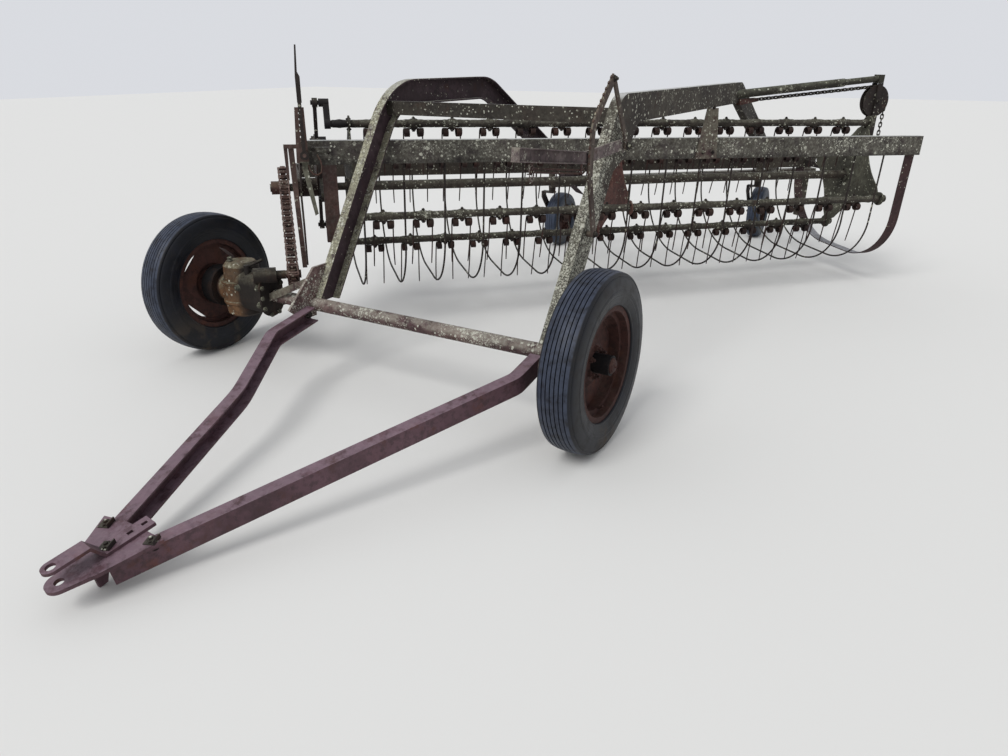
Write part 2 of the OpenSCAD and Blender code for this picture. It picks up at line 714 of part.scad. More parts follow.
// Reel: tube, shaft ends and three four-lobed heads
module reel_tube() {
    color("#5d6350") place() basket() {
        along_x(tube_r, head_places[0] - 30, head_places[2] + 14);
        along_x(shaft_r, sprocket_x - 72, rear_hub_x + rear_hub_len - 12);
    }
}

module reel_head(x) {
    mid_r = 210;
    corner = reel_r * cos(45);
    cut_r = (pow(mid_r, 2) + pow(reel_r, 2) - 2 * mid_r * corner - pow(lobe_r, 2)) / (2 * (corner + lobe_r - mid_r));
    basket() translate([x, 0, 0]) difference() {
        union() {
            upright(-head_t / 2) linear_extrude(head_t) rotate(bar_angles[3]) {
                difference() {
                    rotate(45) square(2 * corner, center = true);
                    for (k = [0:3]) rotate(45 + 90 * k) translate([cut_r + mid_r, 0]) circle(r = cut_r, $fn = 128);
                }
                for (k = [0:3]) rotate(90 * k) translate([reel_r, 0]) circle(r = lobe_r);
            }
            along_x(tube_r + 16, -20, 20);
        }
        along_x(tube_r + seat, -50, 50);
        for (a = bar_angles) rotate([a, 0, 0]) translate([0, reel_r, 0]) along_x(bar_r + run, -50, 50);
    }
}
module head_front() { color("#3f3835") place() reel_head(head_places[0]); }
module head_middle() { color("#6c4436") place() reel_head(head_places[1]); }
module head_rear() { color("#77766e") place() reel_head(head_places[2]); }

// Tooth bars: pipes that turn in the heads, with a crank at the front and a knob at the rear
module at_bar(k) {
    a = bar_angles[k];
    basket() translate([0, reel_r * cos(a), reel_r * sin(a)]) children();
}

module tooth_bar(k) {
    color("#666a58") place() at_bar(k) {
        along_x(bar_r, bar_start, bar_end);
        along_x(bar_r + 6, head_places[2] + head_t / 2 + 2, bar_end);
        along_x(25, bar_start - crank_t, bar_start);
        translate([0, crank_v, crank_z]) along_x(20, ring_x + ring_t + 10, bar_start);
        rotate([-crank_lean, 0, 0]) box_at([bar_start - crank_t, -16, 0], [bar_start, 16, crank_throw]);
        translate([0, crank_v, crank_z]) along_x(crank_pin_r, pin_out, bar_start);
    }
}
module tooth_bar_1() { tooth_bar(0); }
module tooth_bar_2() { tooth_bar(1); }
module tooth_bar_3() { tooth_bar(2); }
module tooth_bar_4() { tooth_bar(3); }

// Tines: each pair is one wire with two open coils, clamped below the bar, and two straight legs
module tine_pair() {
    wire_r = tine_d / 2;
    lean = atan(30 / (tine_reach - coil_drop));
    leg = (tine_reach - coil_drop) / cos(lean);
    half = tine_gap / 2;
    coil_mid = coil_d / 2 - wire_r - 0.6;
    clamp = 13;
    difference() {
        union() {
            along_x(bar_r + 5, -clamp, clamp);
            box_at([-clamp, -clamp + 1, coil_mid - coil_drop - 8], [clamp, clamp - 1, -10]);
            box_at([-8, -9, bar_r], [8, 9, bar_r + 9]);
            translate([0, 0, coil_mid - coil_drop]) along_x(wire_r, -half, half);
            for (s = [-1, 1]) translate([s * half, 0, -coil_drop]) {
                difference() {
                    along_x(coil_d / 2, -coil_len / 2, coil_len / 2);
                    along_x(coil_d / 2 - tine_d, -coil_len, coil_len);
                }
                translate([0, coil_mid, 0]) rotate([180 + lean, 0, 0]) cylinder(r = wire_r, h = leg, $fn = 24);
            }
        }
        along_x(bar_r + seat, -50, 50);
    }
}
module tines(k) {
    color("#4a332a") place() at_bar(k)
        for (i = [0:pairs_n - 1]) translate([first_stripper - (i + 0.5) * tine_pitch, 0, 0]) tine_pair();
}
module tines_1() { tines(0); }
module tines_2() { tines(1); }
module tines_3() { tines(2); }
module tines_4() { tines(3); }

// Tongue: two bent channels from the axle to the hitch
tongue_right_path = [[tongue_right_x, 16, 0], [tongue_right_x, -235, 120], [-105, -632, 500], [136, -1343, 0]];
tongue_left_path = [[tongue_left_x, 16, 0], [tongue_left_x, -150, 120], [283, -1426, 0]];

// Web on the outer side, flanges towards the machine's middle
module tongue_side(path, side) {
    web_t = 6;
    tongue_frame() difference() {
        union() {
            bar(path, 0, -side * web_t, -web_half, web_half);
            bar(path, 0, -side * tongue_flange, -web_half, -web_half + web_t);
            bar(path, 0, -side * tongue_flange, web_half - web_t, web_half);
            translate([path[0][0], 0, 0]) along_x(20, side > 0 ? -14 : 0, side > 0 ? 0 : 14);
        }
        translate([path[0][0], 0, 0]) along_x(pin_r + run, -40, 40);
    }
}
module tongue_right() { color("#7a6068") place() tongue_side(tongue_right_path, -1); }
module tongue_left() { color("#7a6068") place() tongue_side(tongue_left_path, 1); }

// Hitch: a plate over both channels with the lower ear as its nose, and a strap that rises to the upper ear
strap_w = 52;
module hitch() {
    top = ear_low;
    color("#7c626a") place() tongue_frame() difference() {
        union() {
            translate([0, 0, plate_low]) linear_extrude(hitch_t) {
                translate([hitch_x, -tongue_len]) circle(r = hitch_nose);
                polygon([[95, -1302], [174, -1288], [277, -1288], [352, -1290], [296, -1455],
                    [hitch_x + 34, -tongue_len - 17], [hitch_x - 36, -tongue_len + 12], [174, -1470], [140, -1390]]);
            }
            // Strap: flat on the plate, stepped up, then out to the pin
            translate([hitch_x, -tongue_len, 0]) rotate([0, 0, -7.4]) {
                rotate([90, 0, 90]) translate([0, 0, -strap_w / 2]) linear_extrude(strap_w) polygon([
                    [270, top - 1], [270, top + 10], [124, top + 10], [96, ear_high + 10], [-6, ear_high + 10],
                    [-6, ear_high], [92, ear_high], [120, top - 1]]);
                translate([0, 0, ear_high]) linear_extrude(10) {
                    circle(r = strap_w / 2);
                    translate([-strap_w / 2, 0]) square([strap_w, 20]);
                }
            }
            // Foot
            upright(196) linear_extrude(12) polygon([[-foot_reach, -foot_low], [-foot_reach + 26, -foot_low],
                [-foot_reach + 80, plate_low + 1], [-foot_reach, plate_low + 1]]);
        }
        translate([hitch_x, -tongue_len, -200]) cylinder(r = hitch_hole_d / 2, h = 400);
        translate([hitch_x, -tongue_len, 0]) rotate([0, 0, -7.4]) for (y = [206, 250])
            translate([-6, y - 9, top - 50]) cube([12, 18, 100]);
    }
}

// Gussets that hang the beams from the arches
module gussets() {
    color("#5c4645") place() {
        difference() {
            basket() upright_plate(beam_v - 8, beam_v - seat,
                [[300, beam_bottom], [432, beam_bottom], [424, 260], [400, 500], [352, 500]]);
            translate([0, 0, arch_left_top - arch_depth - seat]) box_at([-2000, 0, 0], [3000, 5000, 500]);
        }
        difference() {
            basket() upright_plate(beam_v - 8, beam_v - seat,
                [[-1483, beam_bottom + 8], [-1411, beam_bottom + 8], [-1380, 300], [-1380, 347], [-1474, 347]]);
            translate([-arch_right_out - seat, 0, 0]) box_at([0, -500, 0], [500, 4000, 3000]);
        }
        // Hanger between the right arch's rear leg and the rear beam
        translate([-arch_right_out - 8 - seat, 0, 0]) upright() linear_extrude(8)
            polygon([[2000, hanger_low], [2072, hanger_low], [2100, hanger_low + 161], [1985, hanger_low + 161]]);
        // Brace from the gearbox to the gusset of the right lug
        translate([0, -31.5, 0]) rotate([90, 0, 0]) linear_extrude(8) polygon([
            [gearbox_side_x + gearbox_flange + seat, axle_z - 17], [tongue_right_x - lug_gap - lug_t - seat, axle_z + 93],
            [tongue_right_x - lug_gap - lug_t - seat, axle_z + 127], [gearbox_side_x + gearbox_flange + seat, axle_z + 20]]);
    }
}
hanger_low = axle_z + 424;
// Plate in the basket's upright plane between two depths, its outline in [along, up]
module upright_plate(v0, v1, outline) {
    translate([0, v1, 0]) rotate([90, 0, 0]) linear_extrude(v1 - v0) polygon(outline);
}

// Lift arm: tube in a wider tube, from the left arch's corner out over the reel's rear end
module lift_arm() {
    d = lift_to - lift_from;
    flat = norm([d[0], d[1]]);
    color("#55584c") place() {
        difference() {
            translate(lift_from) rotate([0, 0, atan2(d[1], d[0])]) rotate([0, -atan2(d[2], flat), 0]) {
                along_x(lift_tube_d / 2, -40, 0.74 * norm(d));
                along_x(lift_tube_d / 2 - 5, 0, norm(d) + 20);
            }
            translate([arch_left_out + seat - 500, 0, 0]) box_at([0, 0, 0], [500, 4000, 3000]);
        }
        basket() translate(lift_local) box_at([-14, -26, -26], [22, 26, 24]);
    }
}

pulley_r = pulley_d / 2;
pulley_at = lift_local + [0, 0, -132];
lift_chain_r = 87;
module lift_pulley() {
    color("#4a3a34") place() basket() translate(pulley_at) rotate([90, 0, 0]) rotate_extrude($fn = 96)
        polygon([[8 + run, -16.5], [pulley_r - 33, -16.5], [pulley_r, -16.5], [pulley_r, -14],
            [pulley_r - 23, -13], [pulley_r - 23, 13], [pulley_r, 14], [pulley_r, 16.5], [8 + run, 16.5]]);
}

// Lift chain: oval links under the arm, over the pulley and down
link_w = 22;
link_l = 38;
link_t = 6.4;
lift_pitch = link_l - 2 * link_t - seat;
lift_run = 880;
lift_over = lift_chain_r * (90 + lift_slope) * PI / 180;
lift_hang = 240;
function lift_dir(d) = d < lift_run ? lift_slope
    : max(-90, lift_slope - (d - lift_run) / lift_chain_r * 180 / PI);
function lift_spot(d) =
    d < lift_run ? lift_chain_r * unit(90 + lift_slope) - (lift_run - d) * unit(lift_slope)
    : d < lift_run + lift_over ? lift_chain_r * unit(90 + lift_dir(d))
    : [lift_chain_r, lift_run + lift_over - d];
module lift_chain() {
    color("#4a3a30") place() basket() translate(pulley_at)
        for (i = [0:floor((lift_run + lift_over + lift_hang) / lift_pitch)]) {
            at = lift_spot(i * lift_pitch);
            translate([at[0], 0, at[1]]) rotate([0, -lift_dir(i * lift_pitch), 0])
                rotate([45 + 90 * (i % 2), 0, 0]) oval_link();
        }
}
module oval_link() {
    translate([0, 0, -link_t / 2]) linear_extrude(link_t) difference() {
        stadium(link_l, link_w);
        stadium(link_l - 2 * link_t, link_w - 2 * link_t);
    }
}
module stadium(l, w) {
    square([l - w, w], center = true);
    for (s = [-1, 1]) translate([s * (l - w) / 2, 0]) circle(d = w, $fn = 24);
}

// Left quadrant: notched bar and brace beside the left arch, and the lever's pin
lever_pivot = [593, arch_left_top - 197];
quadrant_r = 350;
module left_quadrant() {
    color("#6a4436") place() {
        upright(arch_left_out) {
            top = arch_left_top + 66;
            bar([[300, top - 572, 0], [240, top - 352, 60], [248, top - 162, 120], [420, top, 0]], -16, 16, 24, 32);
            bar([[420, top - 2, 0], [596, top - 272, 0]], -12, 12, 24, 32);
            translate([lever_pivot[0], lever_pivot[1], seat]) cylinder(r = 10, h = 36);
            translate([300, arch_left_top - 501, seat]) cylinder(r = 12, h = 30);
            translate([lever_pivot[0], lever_pivot[1], 24]) cylinder(r = 20, h = 8);
        }
    }
}
module left_lever() {
    color("#6a5345") place() difference() {
        union() {
            upright(arch_left_out) bar([[lever_pivot[0] + 20, lever_pivot[1] + 8, 0],
                [226, lever_pivot[1] - 9, 260], [lever_pivot[0] - lever_len, lever_pivot[1] + 55, 0]], -22, 22, 6, 16);
            upright(arch_left_out + 6) translate([lever_pivot[0], lever_pivot[1], 0]) cylinder(r = 26, h = 10);
        }
        upright(arch_left_out - 50) translate([lever_pivot[0], lever_pivot[1], 0]) cylinder(r = 10 + run, h = 100);
    }
}

// Right quadrant: perforated plate in front of the beam's right end, a long stay and a hanging handle
upright_pivot = [front_end + 15, 215];
rack_v = beam_v - 44;
module right_quadrant() {
    x = front_end;
    color("#7a4f48") place() basket() {
        difference() {
            upright_plate(rack_v - 6, rack_v, [[x - 22, 180], [x + 34, 180], [x + 30, 425], [x - 12, 425]]);
            for (k = [0:5]) translate([x + 9, rack_v, 270 + 26 * k]) rotate([90, 0, 0]) cylinder(r = 6, h = 40, center = true);
        }
        box_at([x + 4, rack_v - 1, 190], [x + 30, beam_v - seat, 262]);
        translate([upright_pivot[0], rack_v - 30, upright_pivot[1]]) rotate([-90, 0, 0]) cylinder(r = 9, h = 26);
        // Stay down to the gearbox's side
        upright_plate(rack_v + 8, rack_v + 16, [[x - 56, 262], [x - 30, 262], [x - 16, -322], [x - 38, -322]]);
        box_at([x - 75, rack_v + 1, 244], [x + 6, rack_v + 15, 262]);
        upright_plate(rack_v + 8, rack_v + 16, [[x - 76, 262], [x - 58, 262], [x - 60, 100], [x - 72, 100]]);
        // Handle that hangs by a hook
        box_at([x + 4, rack_v + 10, 140], [x + 28, beam_v - seat, 186]);
        upright_plate(rack_v + 8, rack_v + 24, [[x, 160], [x + 26, 160], [x + 60, -60], [x + 44, -69]]);
    }
}
module right_lever() {
    top = upright_lever_len;
    color("#3f302c") place() basket()
        translate([upright_pivot[0], rack_v - 20, upright_pivot[1]]) rotate([90, 0, 0]) difference() {
            union() {
                cylinder(r = 20, h = 8);
                linear_extrude(8) polygon([[-8, 0], [8, 0], [5, 250], [-11, 250]]);
                linear_extrude(8) polygon([[-12, 230], [8, 230], [8, 340], [-2, 360], [2, top], [-5, top], [-13, 340]]);
            }
            translate([0, 0, -20]) cylinder(r = 9 + run, h = 60);
        }
}

// Casters: a bent arm on an upright pin, and a small tyred wheel
module caster_frame(at) { translate([at[0], at[1], 0]) children(); }
caster_r = caster_od / 2;
caster_side = caster_w / 2 + 22;
arm_t = 12;
arm_top = 440;
module caster_arm(at) {
    drop = arm_top - 40 - caster_r;
    side = 25 * [drop, caster_trail] / norm([caster_trail, drop]);
    slope = caster_trail / drop;
    color("#3d3330") place() caster_frame(at) {
        translate([0, 0, arm_top - arm_t + 1]) cylinder(r = caster_pin_r, h = caster_pin_top - arm_top + arm_t);
        translate([0, 0, arm_top - arm_t + 2]) cylinder(r = 23, h = sleeve_bottom - arm_top + arm_t - 2 - seat);
        box_at([-caster_side + 1, -26, arm_top - arm_t], [25, 26, arm_top - 1]);
        translate([-caster_side, 0, 0]) {
            upright() linear_extrude(arm_t) polygon([
                [-28, arm_top], [28, arm_top], [28, arm_top - 40 + side[1] - (28 - side[0]) / slope],
                [caster_trail, caster_r] + side, [caster_trail, caster_r] - side,
                [-side[0], arm_top - 40 - side[1]], [-28, arm_top - 45]]);
            translate([0, caster_trail, caster_r]) {
                along_x(30, -1, arm_t + 1);
                along_x(11, 0, caster_side + caster_w / 2);
            }
        }
    }
}
module caster_hub_frame(at) {
    caster_frame(at) translate([0, caster_trail, caster_r]) rotate([0, 90, 0]) children();
}
module caster_tyre(at) {
    color("#3a4250") place() caster_hub_frame(at) tyre_ring(caster_od, caster_w, 203, 64, 12, 3);
}
module caster_wheel(at) {
    color("#6b3f2c") place() caster_hub_frame(at) difference() {
        union() {
            rotate_extrude($fn = 96) rim_section(101.5, 64, 12, 12, 30);
            translate([0, 0, -3]) cylinder(r = 86.5, h = 6);
            translate([0, 0, -34]) cylinder(r = 26, h = 68);
        }
        translate([0, 0, -60]) cylinder(r = 11 + run, h = 120);
    }
}
module caster_arm_left() { caster_arm(caster_left_at); }
module caster_tyre_left() { caster_tyre(caster_left_at); }
module caster_wheel_left() { caster_wheel(caster_left_at); }
module caster_arm_right() { caster_arm(caster_right_at); }
module caster_tyre_right() { caster_tyre(caster_right_at); }
module caster_wheel_right() { caster_wheel(caster_right_at); }

axle();
arch_right();
arch_left();
arch_brace();
rear_member();
gearbox();
drive_sprocket();
drive_chain();
front_beam();
rear_beam();
strippers();
end_band();
front_end_frame();
rear_bearing();
lift_arm();
lift_chain();
gussets();
left_quadrant();
right_quadrant();
tongue_right();
tongue_left();
hitch();
tyre_left();
wheel_left();
tyre_right();
wheel_right();
reel_tube();
head_front();
head_middle();
head_rear();
reel_sprocket();
control_ring();
tooth_bar_1();
tooth_bar_2();
tooth_bar_3();
tooth_bar_4();
tines_1();
tines_2();
tines_3();
tines_4();
caster_arm_left();
caster_tyre_left();
caster_wheel_left();
caster_arm_right();
caster_tyre_right();
caster_wheel_right();
left_lever();
right_lever();
lift_pulley();
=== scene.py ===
import json
import random
from collections import namedtuple
from math import radians, sin, cos, pi, asin, atan2, hypot
import bmesh
import bpy
from mathutils import Vector, Matrix, noise


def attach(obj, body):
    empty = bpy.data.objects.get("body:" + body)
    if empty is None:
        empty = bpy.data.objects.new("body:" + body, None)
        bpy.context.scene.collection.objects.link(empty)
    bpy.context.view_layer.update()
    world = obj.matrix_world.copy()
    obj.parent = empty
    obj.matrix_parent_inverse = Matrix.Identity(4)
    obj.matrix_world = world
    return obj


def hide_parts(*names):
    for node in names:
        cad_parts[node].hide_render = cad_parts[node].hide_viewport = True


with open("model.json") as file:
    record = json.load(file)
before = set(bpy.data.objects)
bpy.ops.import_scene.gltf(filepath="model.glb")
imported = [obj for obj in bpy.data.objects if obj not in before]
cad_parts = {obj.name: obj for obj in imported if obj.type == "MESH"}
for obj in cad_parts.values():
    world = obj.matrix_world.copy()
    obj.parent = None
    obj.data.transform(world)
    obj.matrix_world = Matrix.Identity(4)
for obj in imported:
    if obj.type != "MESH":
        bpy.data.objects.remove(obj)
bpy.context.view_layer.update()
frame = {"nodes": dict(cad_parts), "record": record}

NODES = frame["nodes"]
SLOTS = {part["node"]: part["material_slot"] for part in frame["record"]["subparts"]}
TAU = 2 * pi

# Frames of the construction, in the row frame, in metres
GROUND = -0.120212
MACHINE = Matrix.Translation((-0.220, 1.578081, GROUND))
TONGUE = MACHINE @ Matrix.Translation((0, -0.066, 0.315)) @ Matrix.Rotation(radians(9.945786), 4, "X")
BASKET = (Matrix.Translation((0.096, 3.446081, 0.590788)) @ Matrix.Rotation(radians(47), 4, "Z")
          @ Matrix.Rotation(radians(1.2), 4, "Y"))

# Sizes of the construction, in metres; places along the reel are in the basket's own measure
REEL_R = 0.345
BAR_R = 0.0167
BAR_ANGLES = (108, 198, 288, 18)
BAR_START = -1.632
HEADS = (-1.540, -0.02825, 1.683)
TINE_PAIRS = 15
TINE_PITCH = 0.2075
FIRST_STRIPPER = 1.595
SPROCKET_X = -1.887
PULLEY = Vector((1.79166, 0, 0.45265))
LIFT_ARM_TIP = PULLEY + Vector((0, 0, 0.132))
WHEEL_X = 1.054

Tyre = namedtuple("Tyre", "od width seat_d seat_w lip grooves")
MAIN_TYRE = Tyre(od=0.690, width=0.147, seat_d=0.406, seat_w=0.102, lip=0.0175, grooves=6)
CASTER_TYRE = Tyre(od=0.405, width=0.105, seat_d=0.203, seat_w=0.064, lip=0.012, grooves=3)

# Casters, in the machine's millimetres: x and y of each pivot, and how far its wheel trails behind it
CASTER_PIVOTS = {"left": (740, 3897), "right": (-560, 2810)}
CASTER_TRAIL = 170


def machine(x, y, z):
    """A point of the machine's frame, in millimetres, in the row frame."""
    return MACHINE @ Vector((x / 1000, y / 1000, z / 1000))


HUBS = {
    "left": MACHINE @ Vector((WHEEL_X, 0, MAIN_TYRE.od / 2)),
    "right": MACHINE @ Vector((-WHEEL_X, 0, MAIN_TYRE.od / 2)),
}
CASTER_HUBS = {side: machine(x, y + CASTER_TRAIL, 1000 * CASTER_TYRE.od / 2)
               for side, (x, y) in CASTER_PIVOTS.items()}


# Materials: one small node language for every weathered surface

GRIME = "#1b1614"
# Painted highlight that lightens the level faces
TOP_HIGHLIGHT = "#b3b3b0"
PALE_CRUST = "#c3c3b4"
RIB_SKY_HIGHLIGHT = "#3a4151"
GROOVE_SHADE = "#030304"

# Distance of the moulded rings on a tyre's wall
RING_PITCH = 0.011

# Shares of a tyre's width: half its tread, and how far the tread falls away at the edge
TREAD_SHARE = 0.385
CROWN_SHARE = 0.042


class Shade:
    """A material whose nodes are added one after another.

    What a method makes it returns as an output socket, apart from node, which returns the node, and finish,
    which returns the material.
    """

    def __init__(self, name):
        self.material = bpy.data.materials.new(name)
        self.material.use_nodes = True
        self.tree = self.material.node_tree
        self.shader = self.tree.nodes["Principled BSDF"]
        coordinates = self.tree.nodes.new("ShaderNodeTexCoord")
        self.place = coordinates.outputs["Object"]
        self.facing = coordinates.outputs["Normal"]

    def node(self, kind, **inputs):
        made = self.tree.nodes.new(kind)
        for key, value in inputs.items():
            self.feed(made.inputs[key.replace("_", " ")], value)
        return made

    def feed(self, socket, value):
        if isinstance(value, bpy.types.NodeSocket):
            self.tree.links.new(value, socket)
        else:
            socket.default_value = value

    def noise(self, scale, detail=4.0, roughness=0.55, stretch=None):
        place = self.place if stretch is None else self.node(
            "ShaderNodeMapping", Vector=self.place, Scale=stretch).outputs["Vector"]
        return self.node("ShaderNodeTexNoise", Vector=place, Scale=scale, Detail=detail,
                         Roughness=roughness).outputs["Fac"]

    def dots(self, scale, share, size, warp=1.1):
        """Scattered dots of uneven size and outline.

        share of the cells hold one, size is a share of the cell, and warp bends their outlines.
        """
        shift = self.node("ShaderNodeTexNoise", Vector=self.place, Scale=scale * 3.2, Detail=5.0,
                          Roughness=0.7).outputs["Color"]
        place = self.vector("ADD", self.place, self.vector("SCALE", shift, warp / scale))
        cell = self.node("ShaderNodeTexVoronoi", Vector=place, Scale=scale)
        chance = self.vector("DOT_PRODUCT", cell.outputs["Color"], Vector((1, 0, 0)))
        held = self.ramp(chance, 1 - share, 1.02 - share)
        least = self.math("POWER", self.vector("DOT_PRODUCT", cell.outputs["Color"], Vector((0, 1, 0))), 1.6)
        inside = self.math("SUBTRACT", self.times(least, size * 1.5), cell.outputs["Distance"])
        return self.times(self.ramp(inside, 0.0, 0.05), held)

    def vector(self, operation, a, b):
        made = self.node("ShaderNodeVectorMath")
        made.operation = operation
        self.feed(made.inputs[0], a)
        self.feed(made.inputs["Scale"] if operation == "SCALE" else made.inputs[1], b)
        return made.outputs["Value"] if operation in ("DOT_PRODUCT", "LENGTH") else made.outputs["Vector"]

    def ramp(self, value, low, high):
        """0 below low, 1 above high; falling where low is the larger."""
        made = self.node("ShaderNodeMapRange", Value=value, From_Min=low, From_Max=high)
        made.interpolation_type = "SMOOTHSTEP"
        return made.outputs["Result"]

    def math(self, operation, a, b):
        made = self.tree.nodes.new("ShaderNodeMath")
        made.operation = operation
        self.feed(made.inputs[0], a)
        self.feed(made.inputs[1], b)
        return made.outputs[0]

    def times(self, product, *factors):
        for factor in factors:
            product = self.math("MULTIPLY", product, factor)
        return product

    def mix(self, factor, a, b):
        made = self.tree.nodes.new("ShaderNodeMix")
        made.data_type = "RGBA"
        for socket, value in ((made.inputs[0], factor), (made.inputs[6], a), (made.inputs[7], b)):
            self.feed(socket, colour(value) if isinstance(value, str) else value)
        return made.outputs[2]

    def facing_to(self, direction, low=0.25, high=0.8):
        """1 on faces that look the given way, 0 on the rest."""
        return self.ramp(self.vector("DOT_PRODUCT", self.facing, Vector(direction).normalized()), low, high)

    def along(self, direction):
        return self.vector("DOT_PRODUCT", self.place, Vector(direction))

    def from_axis(self, at, direction):
        """Distance from an axis through a point."""
        arm = self.vector("SUBTRACT", self.place, Vector(at))
        across = self.vector("CROSS_PRODUCT", arm, Vector(direction).normalized())
        return self.vector("LENGTH", across, Vector((0, 0, 0)))

    def finish(self, base, rough, bump, strength=0.4, shine=0.22):
        self.feed(self.shader.inputs["Base Color"], base)
        self.feed(self.shader.inputs["Roughness"], rough)
        self.shader.inputs["Specular IOR Level"].default_value = shine
        relief = self.node("ShaderNodeBump", Height=bump, Strength=strength, Distance=0.0015)
        self.feed(self.shader.inputs["Normal"], relief.outputs["Normal"])
        return self.material


def colour(code):
    """A hexadecimal sRGB code as the linear colour that the nodes want."""
    parts = [int(code[i:i + 2], 16) / 255 for i in (1, 3, 5)]
    return [p / 12.92 if p <= 0.04045 else ((p + 0.055) / 1.055) ** 2.4 for p in parts] + [1.0]


def weathered(name, paint, worn, rust, crust, lichen, rusty, moss_and_sheen, film_and_sheen, sky=(0, -0.35, 1), grime=0.5,
              where=None, zones=(), top=0.0, shine=0.22):
    """Old painted steel.

    paint and worn are the two tones of the paint, rust and crust those of what covers it, and moss_and_sheen
    the tone of a mossy layer and of a painted sheen. rusty is how far the rust has spread, lichen how much of
    the crust there is, and where an optional mask that adds lichen in one place.
    film_and_sheen is how far the mossy layer and the painted sheen lie on the faces that look towards sky,
    grime how dark the stains are, top how far a painted highlight lightens the level faces, and shine how
    much the paint mirrors. zones are rows of a mask, the two tones that the paint has there, and how much of
    rust, mossy layer, sheen and lichen stays.
    """
    s = Shade(name)
    fade = s.ramp(s.noise(3.5, 5.0, 0.6), 0.35, 0.65)
    body = s.mix(fade, paint, worn)
    kept = 1.0
    for mask, dark, light, keep in zones:
        there = mask(s)
        body = s.mix(there, body, s.mix(fade, dark, light))
        kept = s.times(s.math("SUBTRACT", 1.0, s.times(there, 1 - keep)), kept)

    # Streaks and patches of rust, then pits and stains
    streaks = s.ramp(s.noise(9.0, 5.0, 0.65, (1.0, 1.0, 0.25)), 0.5, 0.75)
    body = s.mix(s.times(streaks, 0.22), body, rust)
    patch = s.ramp(s.noise(13.0, 8.0, 0.62), 0.66 - 0.25 * rusty, 0.78 - 0.2 * rusty)
    body = s.mix(s.times(patch, 0.75, kept), body, rust)
    pits = s.ramp(s.noise(42.0, 6.0, 0.7), 0.44, 0.62)
    stains = s.ramp(s.noise(6.5, 6.0, 0.7), 0.47, 0.66)
    body = s.mix(s.times(s.math("MAXIMUM", pits, stains), grime), body, GRIME)

    # The mossy layer and painted sheen on what faces the sky, and a painted highlight on the level faces
    cover = s.times(s.ramp(s.noise(19.0, 7.0, 0.72), 0.36, 0.54), s.facing_to(sky, 0.1, 0.75), film_and_sheen, kept)
    moss_and_sheen_tone = s.mix(s.times(s.ramp(s.noise(70.0, 5.0, 0.7), 0.42, 0.68), 0.6), moss_and_sheen, crust)
    body = s.mix(cover, body, moss_and_sheen_tone)
    level = s.facing_to((0, 0, 1), 0.75, 0.97)
    # Painted highlight: the level faces take a pale tone as if lit from above
    if top:
        body = s.mix(s.times(level, top, s.ramp(s.noise(8.0, 5.0, 0.6), 0.25, 0.5)), body, TOP_HIGHLIGHT)

    # Lichen: few dots where little grows, many and a mottle where more does
    fine = s.noise(190.0, 4.0, 0.7)
    relief = s.math("ADD", s.times(patch, 0.35), fine)
    if lichen or where:
        field = s.math("ADD", s.noise(5.0, 4.0, 0.65), lichen * 0.5 - 0.1)
        if where:
            field = s.math("ADD", field, where(s))
        field = s.times(field, kept)
        few = s.times(s.math("MAXIMUM", s.dots(90.0, 0.30, 0.38), s.dots(38.0, 0.15, 0.30)),
                      s.ramp(field, 0.34, 0.52))
        many = s.times(s.math("MAXIMUM", s.dots(170.0, 0.6, 0.45), s.dots(80.0, 0.4, 0.42)),
                       s.ramp(field, 0.56, 0.72))
        mottle = s.times(s.ramp(s.noise(150.0, 6.0, 0.8), 0.49, 0.56), s.ramp(field, 0.66, 0.84))
        specks = s.times(s.math("MAXIMUM", s.math("MAXIMUM", few, many), mottle), 0.85)
        body = s.mix(specks, body, s.mix(s.ramp(s.noise(60.0), 0.45, 0.6), crust, PALE_CRUST))
        relief = s.math("ADD", relief, s.times(specks, 0.9))
    smooth = s.math("SUBTRACT", 0.56, s.times(level, 0.16))
    return s.finish(body, s.math("ADD", smooth, s.times(fine, 0.35)), relief, shine=shine)


